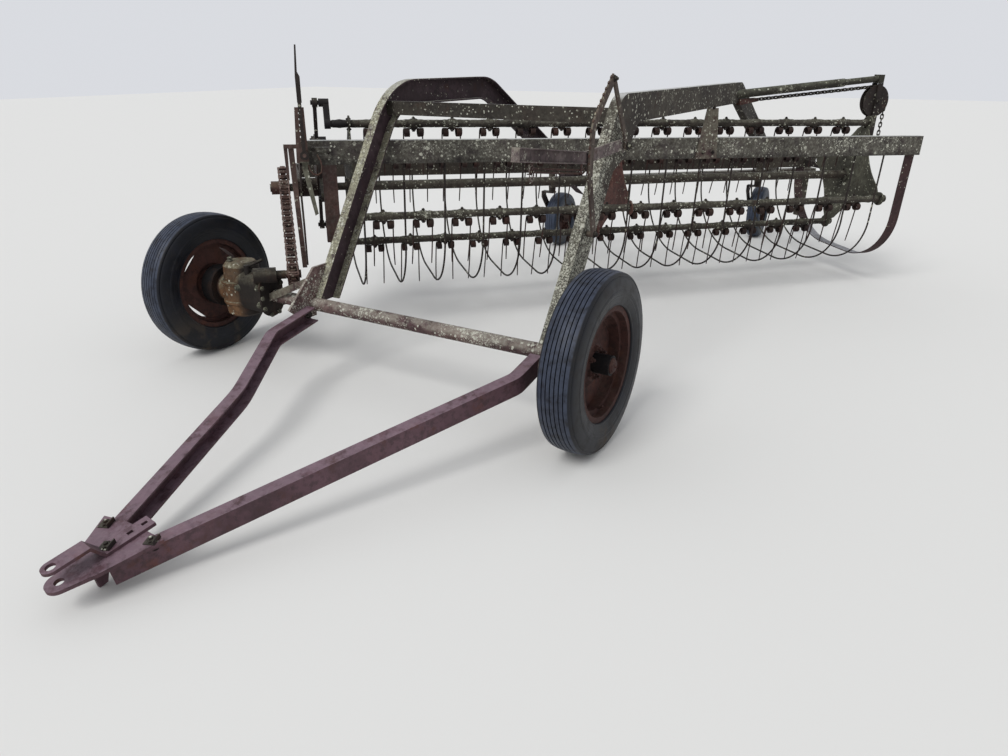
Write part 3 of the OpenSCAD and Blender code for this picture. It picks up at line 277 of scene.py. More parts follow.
def rubber(name, dark, worn, dust, hub, tyre):
    """Tyre rubber: moulded wall rings, painted highlight on ribs and shade in grooves, dust and dry mud low.
    """
    s = Shade(name)
    radius = tyre.od / 2
    body = s.mix(s.ramp(s.noise(9.0, 5.0, 0.6), 0.35, 0.7), dark, worn)
    reach = s.from_axis(hub, (1, 0, 0))
    wave = s.math("SINE", s.times(reach, TAU / RING_PITCH), 0.0)
    wall = s.times(s.ramp(reach, radius * 0.72, radius * 0.75), s.ramp(reach, radius * 0.84, radius * 0.81))
    rings = s.times(s.ramp(wave, 0.2, 0.9), wall)
    patches = s.ramp(s.noise(22.0, 6.0, 0.65), 0.45, 0.7)
    low = s.ramp(s.along((0, 0, 1)), GROUND + radius * 0.85, GROUND + 0.02)
    mud = s.times(s.ramp(s.noise(5.0, 6.0, 0.6), 0.5, 0.62), low)
    body = s.mix(s.math("ADD", s.times(patches, 0.07), s.times(mud, 0.5)), body, dust)

    # Place across the tread, from -1 to 1, and depth below its crown
    across = s.math("DIVIDE", s.math("SUBTRACT", s.along((1, 0, 0)), hub[0]), TREAD_SHARE * tyre.width)
    crown = s.math("SUBTRACT", radius, s.times(across, across, CROWN_SHARE * tyre.width))
    depth = s.math("SUBTRACT", crown, reach)
    tread = s.ramp(s.math("ABSOLUTE", across, 0.0), 1.0, 0.96)
    # Painted highlight: a pale blue-grey sky reflection on the tops of the ribs
    rib_sheen = s.times(s.ramp(depth, 0.003, 0.001), s.ramp(s.noise(28.0, 5.0, 0.7), 0.25, 0.6))
    body = s.mix(s.times(tread, rib_sheen, 0.75), body, RIB_SKY_HIGHLIGHT)
    # Painted shade: the rubber in the grooves darkened to near black
    body = s.mix(s.times(tread, s.ramp(depth, 0.002, 0.005)), body, GROOVE_SHADE)
    relief = s.math("ADD", s.times(s.noise(260.0, 3.0, 0.6), 0.3), rings)
    rough = s.math("ADD", 0.46, s.math("ADD", s.times(patches, 0.15), s.times(mud, 0.3)))
    return s.finish(body, rough, relief, strength=0.45, shine=0.3)


# Masks: functions of a Shade whose socket is 0 outside of one place; the first four functions make them

ALONG = (1, 0, 0)
UP = (0, 0, 1)


def beyond(direction, start, end):
    """0 up to start along a direction, 1 from end on; the other way round where end is the smaller."""
    return lambda s: s.ramp(s.along(direction), start, end)


def in_basket(axis, start, end):
    """The same along one of the basket's axes, in the basket's own measure."""
    ahead = BASKET.to_3x3() @ Vector(axis)
    off = ahead.dot(BASKET.translation)
    return beyond(ahead, start + off, end + off)


def both(first, second):
    return lambda s: s.times(first(s), second(s))


def within(at, direction, radius):
    return lambda s: s.ramp(s.from_axis(at, direction), radius + 0.002, radius - 0.002)


def front_faces(s):
    return s.times(s.facing_to((-0.1, -0.8, 0.6), 0.3, 0.8), 0.30)


def front_leg(s):
    return s.times(beyond((0, 1, 0), 2.25, 1.95)(s), 0.24)


def upper_faces(s):
    return s.facing_to((0, 0, 1), 0.5, 0.9)


# Tones, columns as weathered takes them: paint, worn, rust, crust, lichen, rusty, moss_and_sheen,
# film_and_sheen
SLOT_TONES = {
    "arch_paint": ("#33262b", "#46383c", "#4a302a", "#a8a68e", 0.1, 0.3, "#7b7866", 0.85),
    "mossy_paint": ("#38322d", "#4b443d", "#46342a", "#a9aa99", 0.25, 0.35, "#514e42", 0.45),
    "tongue_paint": ("#482f36", "#5d434b", "#5c342c", "#8f7d84", 0.0, 0.5, "#7d6772", 0.55),
    "axle_paint": ("#4e3b3c", "#6a5552", "#57392f", "#b9b9ab", 0.5, 0.35, "#8f897d", 0.5),
    "gearbox_iron": ("#4c3828", "#674c35", "#6b4630", "#a3a18d", 0.12, 0.45, "#5f5a48", 0.75),
    "rust_steel": ("#3e2a27", "#523934", "#5b382c", "#97937f", 0.12, 0.5, "#675d4c", 0.35),
    "dark_steel": ("#1f1a1a", "#2f2826", "#3f2a22", "#8a8874", 0.1, 0.4, "#48483a", 0.3),
    "tine_steel": ("#291d1d", "#3a2925", "#50302a", "#77705a", 0.0, 0.5, "#48423a", 0.2),
    "head_dark": ("#241f1f", "#35302b", "#3d2b24", "#999a85", 0.2, 0.4, "#48493c", 0.45),
    "head_brown": ("#4f332f", "#61433d", "#603a32", "#9a9581", 0.12, 0.45, "#665b4b", 0.25),
    "head_grey": ("#3f3d36", "#57564b", "#4b3c32", "#a6a792", 0.25, 0.3, "#626352", 0.5),
    "rim_rust": ("#38221f", "#4c322d", "#583529", "#8a8470", 0.0, 0.6, "#624a40", 0.15),
}
BAR_TONES = ("#2f2a26", "#443f38", "#423027", "#a2a290", 0.3, 0.35, "#4f4d41", 0.5)

# The same for nodes with a paint of their own, after the name of their material
NODE_TONES = {
    "wheel_left": ("rim_left", *SLOT_TONES["rim_rust"]),
    "wheel_right": ("rim_right", *SLOT_TONES["rim_rust"]),
    "arch_left": ("arch_left_lichen", "#332d29", "#47423a", "#45332b", "#b0afa0", 0.25, 0.3, "#5b594b", 0.45),
    "arch_brace": ("brace_paint", "#2a2623", "#3d3731", "#423028", "#9f9f8e", 0.2, 0.35, "#504e42", 0.4),
    "gussets": ("gusset_paint", "#402f30", "#544340", "#50362c", "#a5a593", 0.22, 0.35, "#6f6d5e", 0.55),
    "front_beam": ("beam_paint", "#373231", "#4d4744", "#46342c", "#b3b3a4", 0.38, 0.3, "#504e43", 0.45),
    "rear_beam": ("rear_beam_paint", "#2e2a26", "#423c35", "#42312a", "#a3a392", 0.22, 0.35, "#4f4d41", 0.4),
    "end_band": ("band_paint", "#2f2023", "#412e2f", "#452f28", "#88816f", 0.1, 0.35, "#524743", 0.2),
    "lift_arm": ("lift_paint", "#2e2c26", "#413f36", "#3c2d25", "#999a86", 0.2, 0.3, "#525547", 0.45),
    "drive_chain": ("chain_rust", "#332220", "#554039", "#643f32", "#9f9083", 0.2, 0.5, "#7d6861", 0.45),
    "left_quadrant": ("left_rack_paint", "#473c37", "#5e534b", "#573d32", "#a19d88", 0.12, 0.35, "#6e6858",
                      0.4),
    "right_quadrant": ("quadrant_rust", "#483734", "#5d4a44", "#5a3d33", "#a19d88", 0.2, 0.4, "#6e6555",
                       0.35),
    "left_lever": ("lever_paint", "#5a4d4e", "#766a68", "#5a3f37", "#aaa698", 0.3, 0.3, "#8c8778", 0.6),
    "front_end_frame": ("end_frame_paint", "#291e1d", "#392a27", "#452f27", "#8a8874", 0.12, 0.45, "#48483a",
                        0.3),
    **{"tooth_bar_%d" % k: ("bar_paint_%d" % k, *BAR_TONES) for k in (1, 2, 3, 4)},
}

# Radius of the dark hubs, then their two tones and how much of rust, mossy layer, sheen and lichen stays
# there
HUB_R = 0.041
HUB_TONES = ("#0f0d0f", "#1c1719", 0.0)
DARK_END = {"zones": ((in_basket(ALONG, -1.52, -1.56), "#161416", "#211e20", 0.1),)}

# What weathered takes besides, by slot or node
BESIDES = {
    "arch_paint": {"sky": (-0.3, -0.75, 0.55), "where": front_faces, "top": 0.5},
    "tongue_paint": {"grime": 0.45, "shine": 0.45},
    # Its housing is darker towards the machine's middle, black towards the wheel and duller behind
    "gearbox_iron": {"sky": (0.1, -0.2, 1), "zones": (
        (beyond((1, 0, 0), -0.985, -0.955), "#1e1a18", "#2e2723", 0.3),
        (beyond((1, 0, 0), -1.115, -1.135), "#08080a", "#101012", 0.0),
        (beyond((0, 1, 0), 1.60, 1.75), "#3f2e25", "#50392a", 0.6))},
    "wheel_left": {"zones": ((within(HUBS["left"], (1, 0, 0), HUB_R), *HUB_TONES),)},
    "wheel_right": {"zones": ((within(HUBS["right"], (1, 0, 0), HUB_R), *HUB_TONES),)},
    "arch_left": {"where": front_leg, "top": 0.9},
    "arch_brace": {"top": 0.6},
    "gussets": {"sky": (0, -0.8, 0.5)},
    # Painted shade darkens the foot of its web, and its lower flange is rusty
    "front_beam": {"sky": (0, -0.9, 0.4), "top": 1.0, "zones": (
        (in_basket(UP, 0.20, 0.165), "#232021", "#35302f", 0.7),
        (in_basket(UP, 0.166, 0.160), "#3c2929", "#4e3732", 0.4))},
    "rear_beam": {"top": 0.6},
    # Bright steel on the inside of its lowest stretch
    "end_band": {"zones": ((both(in_basket(UP, -0.40, -0.46), upper_faces), "#8f8f92", "#a9aaae", 0.3),)},
    "drive_chain": {"grime": 0.85},
    "right_quadrant": {"zones": (
        (both(in_basket(ALONG, -1.8085, -1.806), in_basket(UP, 0.19, 0.18)), "#57564a", "#706f62", 1.0),)},
    "left_lever": {"sky": (0, -0.6, 0.8)},
    **{"tooth_bar_%d" % k: DARK_END for k in (1, 2, 3, 4)},
}

MAIN_RUBBER = ("#0a0c12", "#12151e", "#66594a")
CASTER_RUBBER = ("#18212f", "#293546", "#66635a")

MATERIALS = {slot: weathered(slot, *tones, **BESIDES.get(slot, {})) for slot, tones in SLOT_TONES.items()}
SPECIAL = {
    "tyre_left": rubber("main_rubber", *MAIN_RUBBER, HUBS["left"], MAIN_TYRE),
    "tyre_right": rubber("main_rubber_right", *MAIN_RUBBER, HUBS["right"], MAIN_TYRE),
    "caster_tyre_left": rubber("caster_rubber", *CASTER_RUBBER, CASTER_HUBS["left"], CASTER_TYRE),
    "caster_tyre_right": rubber("caster_rubber_right", *CASTER_RUBBER, CASTER_HUBS["right"], CASTER_TYRE),
    **{node: weathered(*tones, **BESIDES.get(node, {})) for node, tones in NODE_TONES.items()},
}

for part in frame["record"]["subparts"]:
    thing = NODES[part["node"]]
    thing.data.materials.clear()
    thing.data.materials.append(SPECIAL.get(part["node"]) or MATERIALS[part["material_slot"]])


# Mesh code for the small parts

def around(radius, degrees):
    """Two coordinates of a point on a circle."""
    return radius * cos(radians(degrees)), radius * sin(radians(degrees))


def sweep(bm, points, radius, sides=8):
    """A tube along points; radius is one number or one for each point."""
    points = [Vector(p) for p in points]
    radii = radius if isinstance(radius, (list, tuple)) else [radius] * len(points)
    side = None
    rings = []
    for i, p in enumerate(points):
        ahead = (points[min(i + 1, len(points) - 1)] - points[max(i - 1, 0)]).normalized()
        if side is None:
            side = ahead.orthogonal().normalized()
        side = (side - ahead * side.dot(ahead)).normalized()
        up = ahead.cross(side)
        rings.append([bm.verts.new(p + radii[i] * (cos(TAU * k / sides) * side + sin(TAU * k / sides) * up))
                      for k in range(sides)])
    for a, b in zip(rings, rings[1:]):
        for k in range(sides):
            bm.faces.new((a[k], a[(k + 1) % sides], b[(k + 1) % sides], b[k]))
    bm.faces.new(reversed(rings[0]))
    bm.faces.new(rings[-1])


def circle(bm, place, r, z, sides):
    """New points on a circle around the z axis of place."""
    return [bm.verts.new(place @ Vector((r * cos(TAU * k / sides), r * sin(TAU * k / sides), z)))
            for k in range(sides)]


def lathe(bm, place, profile, sides=24):
    """A turned piece around the z axis of place.

    profile rows are (radius, height); its first and last row lie on the axis or are closed by a flat face.
    """
    rings = []
    for r, z in profile:
        if r < 1e-6:
            rings.append([bm.verts.new(place @ Vector((0, 0, z)))])
        else:
            rings.append(circle(bm, place, r, z, sides))
    for a, b in zip(rings, rings[1:]):
        for k in range(sides):
            n = (k + 1) % sides
            if len(a) == 1 and len(b) > 1:
                bm.faces.new((a[0], b[n], b[k]))
            elif len(b) == 1 and len(a) > 1:
                bm.faces.new((a[k], a[n], b[0]))
            elif len(a) > 1:
                bm.faces.new((a[k], a[n], b[n], b[k]))
    if len(rings[0]) > 1:
        bm.faces.new(reversed(rings[0]))
    if len(rings[-1]) > 1:
        bm.faces.new(rings[-1])


def ring(bm, place, profile, sides):
    """A ring around the z axis of place; profile is a closed row of (radius, height)."""
    rows = [circle(bm, place, r, z, sides) for r, z in profile]
    for a, b in zip(rows, rows[1:] + rows[:1]):
        for k in range(sides):
            n = (k + 1) % sides
            bm.faces.new((a[k], a[n], b[n], b[k]))


def bolt(bm, place, across, high, corners=6, washer=True, stub=0.006):
    """A bolt head or nut with a chamfered top, its washer and the rounded end of the thread."""
    r = across / 2 / cos(pi / corners)
    if washer:
        lathe(bm, place, [(r * 1.25, -0.001), (r * 1.25, 0.0015), (r * 1.15, 0.0022), (0, 0.0022)], 16)
    lathe(bm, place, [(r, 0.0015), (r, high * 0.8), (r * 0.86, high), (0, high)], corners)
    if stub:
        thread = across * 0.3
        lathe(bm, place, [(thread, high - 0.001), (thread, high + stub * 0.75), (thread * 0.7, high + stub),
                          (0, high + stub)], 10)


def block(bm, place, low, high, chamfer=0.002):
    """A box with chamfered edges."""
    lo, hi = Vector(low), Vector(high)
    made = bmesh.ops.create_cube(bm, size=1.0)
    for v in made["verts"]:
        v.co = Vector([lo[i] if v.co[i] < 0 else hi[i] for i in range(3)])
    edges = list(dict.fromkeys(e for v in made["verts"] for e in v.link_edges))
    done = bmesh.ops.bevel(bm, geom=edges, offset=chamfer, segments=2, affect="EDGES", profile=0.6)
    verts = {v for f in done["faces"] for v in f.verts} | {v for v in made["verts"] if v.is_valid}
    for v in verts:
        v.co = place @ v.co


def put(bm, name, body, slot_name, replaced=(), material=None):
    """The mesh as a piece that rides on a body, with the material of its slot or one of its own."""
    bmesh.ops.recalc_face_normals(bm, faces=bm.faces)
    mesh = bpy.data.meshes.new(name)
    bm.to_mesh(mesh)
    bm.free()
    mesh.shade_smooth()
    mesh.set_sharp_from_angle(angle=radians(38))
    piece = bpy.data.objects.new(name, mesh)
    bpy.context.collection.objects.link(piece)
    piece.data.materials.append(material or MATERIALS[slot_name])
    if replaced:
        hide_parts(*replaced)
    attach(piece, body)


def looking(at, direction, roll=0.0):
    """A frame at a point whose z axis looks along a direction."""
    turn = Vector(direction).to_track_quat("Z", "Y").to_matrix().to_4x4()
    return Matrix.Translation(at) @ turn @ Matrix.Rotation(roll, 4, "Z")


def bar_place(x, angle):
    """The frame of a place along a tooth bar, with the basket's axes."""
    return BASKET @ Matrix.Translation((x, *around(REEL_R, angle)))


# Tyres: ribbed tread, rounded shoulders with a shallow step, bulged walls with two raised rings

# Half a groove, as shares of the tyre's width: distance from its middle, depth
GROOVE = ((0.016, 0.0), (0.012, 0.004), (0.008, 0.045))

# The wall from the edge of the tread to the bead, as shares of the width: offset, drop below the crown
WALL = ((0.390, 0.044), (0.408, 0.054), (0.422, 0.074), (0.430, 0.098), (0.421, 0.114), (0.420, 0.128),
        (0.434, 0.138), (0.448, 0.160), (0.462, 0.21), (0.476, 0.27), (0.487, 0.34), (0.493, 0.41),
        (0.496, 0.46), (0.502, 0.475), (0.503, 0.50), (0.496, 0.515), (0.490, 0.57), (0.478, 0.64),
        (0.462, 0.70), (0.444, 0.755), (0.430, 0.79), (0.434, 0.80), (0.432, 0.82), (0.420, 0.835))


def tyre_profile(tyre):
    """Half of the tyre's section, from the middle of the tread to the bead, as (radius, offset)."""
    r, w = tyre.od / 2, tyre.width
    half_tread = TREAD_SHARE * w
    pitch = 2 * half_tread / (tyre.grooves + 1)
    first = 0.5 if tyre.grooves % 2 == 0 else 0.0
    rows = []
    for k in range((tyre.grooves + 1) // 2):
        x = pitch * (k + first)
        crown = [r - CROWN_SHARE * w * (x / half_tread) ** 2 - depth * w for off, depth in GROOVE]
        outer = [(level, x + off * w) for level, (off, depth) in zip(crown, GROOVE)]
        if x:
            rows += [(level, x - off * w) for level, (off, depth) in zip(crown, GROOVE)]
        rows += reversed(outer)
    rows += [(r - drop * w, out * w) for out, drop in WALL]
    rim, inside = tyre.seat_d / 2 + tyre.lip, tyre.seat_w / 2 - 0.0005
    return rows + [(rim + 0.0006, tyre.seat_w / 2 + 0.007), (rim + 0.0002, inside),
                   (tyre.seat_d / 2 + 0.0004, inside)]


def tyres():
    for node, body, hub, tyre, sides in (
            ("tyre_left", "wheel_left_body", HUBS["left"], MAIN_TYRE, 128),
            ("tyre_right", "wheel_right_body", HUBS["right"], MAIN_TYRE, 128),
            ("caster_tyre_left", "caster_left_wheel", CASTER_HUBS["left"], CASTER_TYRE, 96),
            ("caster_tyre_right", "caster_right_wheel", CASTER_HUBS["right"], CASTER_TYRE, 96)):
        half = tyre_profile(tyre)
        whole = half + [(r, -x) for r, x in reversed(half)]
        bm = bmesh.new()
        ring(bm, Matrix.Translation(hub) @ Matrix.Rotation(radians(90), 4, "Y"), whole, sides)
        put(bm, node.replace("tyre", "tread"), body, SLOTS[node], (node,), SPECIAL[node])


# Tooth bars: the crust of moss and rust on them, with a lump at each clamp

CRUST_START = BAR_START + 0.004
HEAD_GAP = 0.006
CRUST = 0.0025
CRUST_STEP = 0.0075
CRUST_SIDES = 14
END_TAPER = 0.004


def crust_radius(x, turn, bar, edge):
    """Radius of the crust at a place along a bar and an angle around it, edge away from the nearer end."""
    nearest = (FIRST_STRIPPER - x) / TINE_PITCH - 0.5
    away = abs(nearest - round(nearest)) * TINE_PITCH
    lump = 0.0
    if 0 <= round(nearest) < TINE_PAIRS:
        lump = 0.0060 * max(0.0, 1 - (away / 0.021) ** 2) ** 0.5
    coil = 0.0022 * max(0.0, 1 - ((away - TINE_HALF) / 0.020) ** 2)
    rough = noise.noise(Vector((x * 55, bar * 7.0 + 2.2 * cos(turn), 2.2 * sin(turn))))
    rough += 0.6 * noise.noise(Vector((x * 150, bar * 3.0 + 5 * cos(turn), 5 * sin(turn))))
    upper = max(0.0, sin(turn))
    r = BAR_R + CRUST + 0.0013 * rough + (lump + coil) * (0.75 + 0.35 * upper + 0.35 * rough)
    return min(r, BAR_R + 0.0005 + edge * 0.6) if edge < END_TAPER else r


def crust():
    ends = [CRUST_START - HEAD_GAP, *HEADS]
    turns = [TAU * j / CRUST_SIDES for j in range(CRUST_SIDES)]
    for bar, angle in enumerate(BAR_ANGLES, 1):
        place = bar_place(0, angle)
        bm = bmesh.new()
        for start, end in zip(ends, ends[1:]):
            start, end = start + HEAD_GAP, end - HEAD_GAP
            count = max(3, round((end - start) / CRUST_STEP))
            rows = []
            for i in range(count + 1):
                x = start + (end - start) * i / count
                radii = [crust_radius(x, t, bar, min(x - start, end - x)) for t in turns]
                rows.append([bm.verts.new(place @ Vector((x, r * cos(t), r * sin(t))))
                             for r, t in zip(radii, turns)])
            for p, q in zip(rows, rows[1:]):
                for j in range(CRUST_SIDES):
                    n = (j + 1) % CRUST_SIDES
                    bm.faces.new((p[j], p[n], q[n], q[j]))
            bm.faces.new(reversed(rows[0]))
            bm.faces.new(rows[-1])
        put(bm, "bar_crust_%d" % bar, "bar_%d" % bar, "mossy_paint", material=SPECIAL["tooth_bar_%d" % bar])


# Tines: one wire for each pair, with two coils of four and a quarter turns right under the bar

WIRE_R = 0.0036
COIL_R = 0.0192
COIL_DROP = 0.0440
COIL_HALF = 0.0150
COIL_TURNS = 4.25
COIL_STEPS = 51
TINE_REACH = 0.270
TINE_HALF = 0.036
TINE_LEAN = 0.032
TINE_STEPS = 7


def half_wire(luck, s):
    """One tine and its coil, from the tip inwards, as points and radii; s is -1 or 1."""
    bend, swing = luck.uniform(-0.009, 0.009), luck.uniform(-0.007, 0.007)
    points, radii = [], []
    for i in range(TINE_STEPS + 1):
        t = i / TINE_STEPS
        x = s * (TINE_HALF + COIL_HALF) + swing * (1 - t) ** 2
        y = COIL_R + TINE_LEAN * (1 - t) + bend * sin(pi * t) * 0.7
        points.append((x, y, -TINE_REACH + (TINE_REACH - COIL_DROP) * t))
        radii.append(WIRE_R * (0.8 if i == 0 else 1))
    for i in range(1, COIL_STEPS + 1):
        x = s * (TINE_HALF + COIL_HALF - 2 * COIL_HALF * i / COIL_STEPS)
        y, z = around(COIL_R, 360 * COIL_TURNS * i / COIL_STEPS)
        points.append((x, y, z - COIL_DROP))
        radii.append(WIRE_R * 1.12)
    return points, radii


def tine_wire(luck):
    """Points of one pair's wire, from tip to tip, around the bar's axis, and the wire's radius at each."""
    (left, r_left), (right, r_right) = half_wire(luck, -1), half_wire(luck, 1)
    middle = [(x, -0.002, COIL_R - COIL_DROP) for x in (-0.012, 0.012)]
    return left + middle + right[::-1], r_left + [WIRE_R, WIRE_R] + r_right[::-1]


def tines():
    luck = random.Random(11)
    for bar, angle in enumerate(BAR_ANGLES, 1):
        wires, clamps = bmesh.new(), bmesh.new()
        for i in range(TINE_PAIRS):
            place = bar_place(FIRST_STRIPPER - (i + 0.5) * TINE_PITCH, angle)
            points, radii = tine_wire(luck)
            sweep(wires, [place @ Vector(p) for p in points], radii, 7)
            block(clamps, place, (-0.011, -0.0105, -0.0345), (0.011, 0.0105, -0.0150), 0.003)
            over = place @ looking((0, 0, 0.0235), (0, 0, 1), luck.uniform(0, 1))
            under = place @ looking((0, 0, -0.0342), (0, 0, -1))
            bolt(clamps, over, 0.015, 0.009, washer=False, stub=0.003)
            bolt(clamps, under, 0.014, 0.006, washer=False, stub=0.0)
        put(wires, "tine_wires_%d" % bar, "bar_%d" % bar, "tine_steel", ("tines_%d" % bar,))
        put(clamps, "tine_clamps_%d" % bar, "bar_%d" % bar, "dark_steel")


# Drive chain: cast links with hooked ends, along the same loop as in the construction

CHAIN_PITCH = 0.0419
CHAIN_LINKS = 46
BIG_TEETH = 15
SMALL_TEETH = 9
CHAIN_SLOPE = 24.8
HOOK_INSIDE = 0.0062
HOOK_OUTSIDE = 0.0108


def unit(angle):
    return Vector((cos(angle), sin(angle)))


def chain_loop():
    """The chain's joints, as points in the plane of the sprockets, and the distance of the sprockets."""
    big, small = (CHAIN_PITCH / 2 / sin(pi / teeth) for teeth in (BIG_TEETH, SMALL_TEETH))
    run, gap = CHAIN_LINKS - (BIG_TEETH + SMALL_TEETH) / 2, (BIG_TEETH - SMALL_TEETH) / TAU
    dist = CHAIN_PITCH / 4 * (run + (run ** 2 - 8 * gap ** 2) ** 0.5)
    lap = asin((big - small) / dist)
    flat = (dist ** 2 - (big - small) ** 2) ** 0.5
    over, under = big * (pi + 2 * lap), small * (pi - 2 * lap)
    total = 2 * flat + over + under
    points = []
    for i in range(CHAIN_LINKS):
        d = total * i / CHAIN_LINKS
        if d < over:
            p = Vector((dist, 0)) + big * unit(-pi / 2 - lap + d / big)
        elif d < over + flat:
            p = Vector((dist, 0)) + big * unit(pi / 2 + lap) + (d - over) * unit(pi + lap)
        elif d < over + flat + under:
            p = small * unit(pi / 2 + lap + (d - over - flat) / small)
        else:
            p = small * unit(1.5 * pi - lap) + (d - over - flat - under) * unit(-lap)
        points.append(p)
    return points, dist


def chain_link(bm, place, reach):
    """Bar at this end, hook around the next link's bar, and the two sides that splay a little."""
    sweep(bm, [place @ Vector((0, 0, z)) for z in (-0.027, -0.0255, 0.0255, 0.027)],
          [0.0035, 0.005, 0.005, 0.0035], 10)
    turns = range(-60, 241, 30)
    rows = []
    for s in (-1, 1):
        for r, w in ((HOOK_INSIDE, 0.011), (HOOK_OUTSIDE, 0.013)):
            arc = [around(r, t) for t in turns]
            rows.append([bm.verts.new(place @ Vector((reach + x, y, s * w))) for x, y in arc])
    inner_low, outer_low, inner_high, outer_high = rows
    for first, second in ((inner_low, inner_high), (outer_high, outer_low), (outer_low, inner_low),
                          (inner_high, outer_high)):
        for j in range(len(turns) - 1):
            bm.faces.new((first[j], first[j + 1], second[j + 1], second[j]))
    bm.faces.new((inner_low[0], inner_high[0], outer_high[0], outer_low[0]))
    bm.faces.new((inner_low[-1], outer_low[-1], outer_high[-1], inner_high[-1]))
    for s in (-1, 1):
        side = place @ Matrix.Translation((0, 0, s * 0.0195)) @ Matrix.Rotation(s * -0.10, 4, "Y")
        block(bm, side, (-0.004, -0.0052, -0.0035), (reach + 0.001, 0.0052, 0.0035), 0.0015)
    block(bm, place, (reach - 0.016, -0.0045, -0.020), (reach - 0.0085, 0.0045, 0.020), 0.0015)


def drive_chain():
    slope = radians(CHAIN_SLOPE)
    points, dist = chain_loop()
    upright = Matrix(((0, 0, 1, 0), (1, 0, 0, 0), (0, 1, 0, 0), (0, 0, 0, 1)))
    small_end = Matrix.Translation((-dist * cos(slope), -dist * sin(slope), 0))
    loop = (BASKET @ Matrix.Translation((SPROCKET_X, 0, 0)) @ upright @ small_end
            @ Matrix.Rotation(slope, 4, "Z"))
    bm = bmesh.new()
    for a, b in zip(points, points[1:] + points[:1]):
        d = b - a
        place = loop @ Matrix.Translation((a.x, a.y, 0)) @ Matrix.Rotation(atan2(d.y, d.x), 4, "Z")
        chain_link(bm, place, d.length)
    put(bm, "chain_links", "frame", SLOTS["drive_chain"], ("drive_chain",), SPECIAL["drive_chain"])


# Bolts, nuts and caps

def frame_bolts():
    bm = bmesh.new()
    # Ends of the strippers, bolted up through the beams' lower flanges
    for k in range(TINE_PAIRS + 1):
        for y, z in ((-0.390, 0.171), (0.594, -0.023)):
            at = (FIRST_STRIPPER - k * TINE_PITCH, y, z)
            bolt(bm, BASKET @ looking(at, (0, 0, 1)), 0.017, 0.008, stub=0.008)
    # Front beam: slotted plate and gussets, square heads at x and z
    for x, z in ((-1.672, 0.222), (-1.741, 0.236), (-1.450, 0.190), (-1.432, 0.325), (0.340, 0.198),
                 (0.402, 0.198), (0.376, 0.430)):
        bolt(bm, BASKET @ looking((x, -0.4182, z), (0, -1, 0)), 0.015, 0.008, corners=4, washer=False)
    # Hanger of the rear beam, at y and z
    for y, z in ((2022, 905), (2060, 905), (2036, 800)):
        bolt(bm, looking(machine(-353.3, y, z), (-1, 0, 0)), 0.019, 0.009)
    # Front bearing
    for t in (45, 135, 225, 315):
        bolt(bm, BASKET @ looking((-1.8082, *around(0.050, t)), (-1, 0, 0)), 0.014, 0.008)
    # Rear bearing, and both ends of the pulley's axle
    for s in (-1, 1):
        bolt(bm, BASKET @ looking(PULLEY + Vector((0, s * 0.0341, 0)), (0, s, 0)), 0.022, 0.010)
        bolt(bm, BASKET @ looking((1.794, s * 0.0291, 0.055), (0, s, 0)), 0.016, 0.008)
    # Lever's pin and the foot and top of its rack
    bolt(bm, looking(machine(906.2, 593, 1049), (1, 0, 0)), 0.026, 0.012)
    bolt(bm, looking(machine(900.3, 300, 745), (1, 0, 0)), 0.020, 0.010)
    bolt(bm, looking(machine(902.1, 418, 1306), (1, 0, 0)), 0.018, 0.009)
    put(bm, "frame_bolts", "frame", "dark_steel")


def gearbox_bolts():
    """Bolts of the side housing, pale with lichen, on its front, flange and top, and the filler plug."""
    bm = bmesh.new()
    for x, z in ((-748, 381), (-610, 398), (-610, 316)):
        bolt(bm, looking(machine(x, -81.8, z), (0, -1, 0)), 0.024, 0.013, stub=0.005)
    for y, z in ((-80, 400), (-84, 352), (-78, 300), (-40, 262), (6, 266), (40, 300), (36, 402), (-4, 455),
                 (-46, 452)):
        bolt(bm, looking(machine(-590.2, y, z), (1, 0, 0)), 0.019, 0.011, washer=False, stub=0.004)
    plug = [(0.014, -0.004), (0.014, 0.006), (0.011, 0.009), (0.011, 0.020), (0.008, 0.022), (0, 0.022)]
    lathe(bm, Matrix.Translation(machine(-838, -34, 486)), plug, 16)
    for t in range(0, 360, 60):
        x, y = around(84, t)
        bolt(bm, looking(machine(x - 805, y, 401.5), (0, 0, 1)), 0.014, 0.008, washer=False, stub=0.0)
    put(bm, "gearbox_bolts", "frame", "head_grey")


def tongue_bolts():
    bm = bmesh.new()
    for x, y, z in ((0.135, -1.322, 0.0463), (0.325, -1.308, 0.0463), (0.234, -1.384, 0.0563)):
        seat = TONGUE @ looking((x, y, z), (0, 0, 1), radians(20))
        bolt(bm, seat, 0.021, 0.009, corners=4, washer=False, stub=0.007)
        # Square washer with one side bent up
        block(bm, seat, (-0.019, -0.017, -0.0005), (0.019, 0.017, 0.003), 0.001)
        block(bm, seat, (-0.019, -0.017, 0.001), (-0.015, 0.017, 0.015), 0.001)
        bolt(bm, TONGUE @ looking((x, y, z - 0.026), (0, 0, -1)), 0.019, 0.010, stub=0.012)
    # Pins on the axle's lugs
    for x, s in ((-0.333, 1), (0.865, -1)):
        bolt(bm, TONGUE @ looking((x + s * 0.0145, 0, 0), (s, 0, 0)), 0.026, 0.010, stub=0.0)
    put(bm, "tongue_bolts", "tongue", "dark_steel")


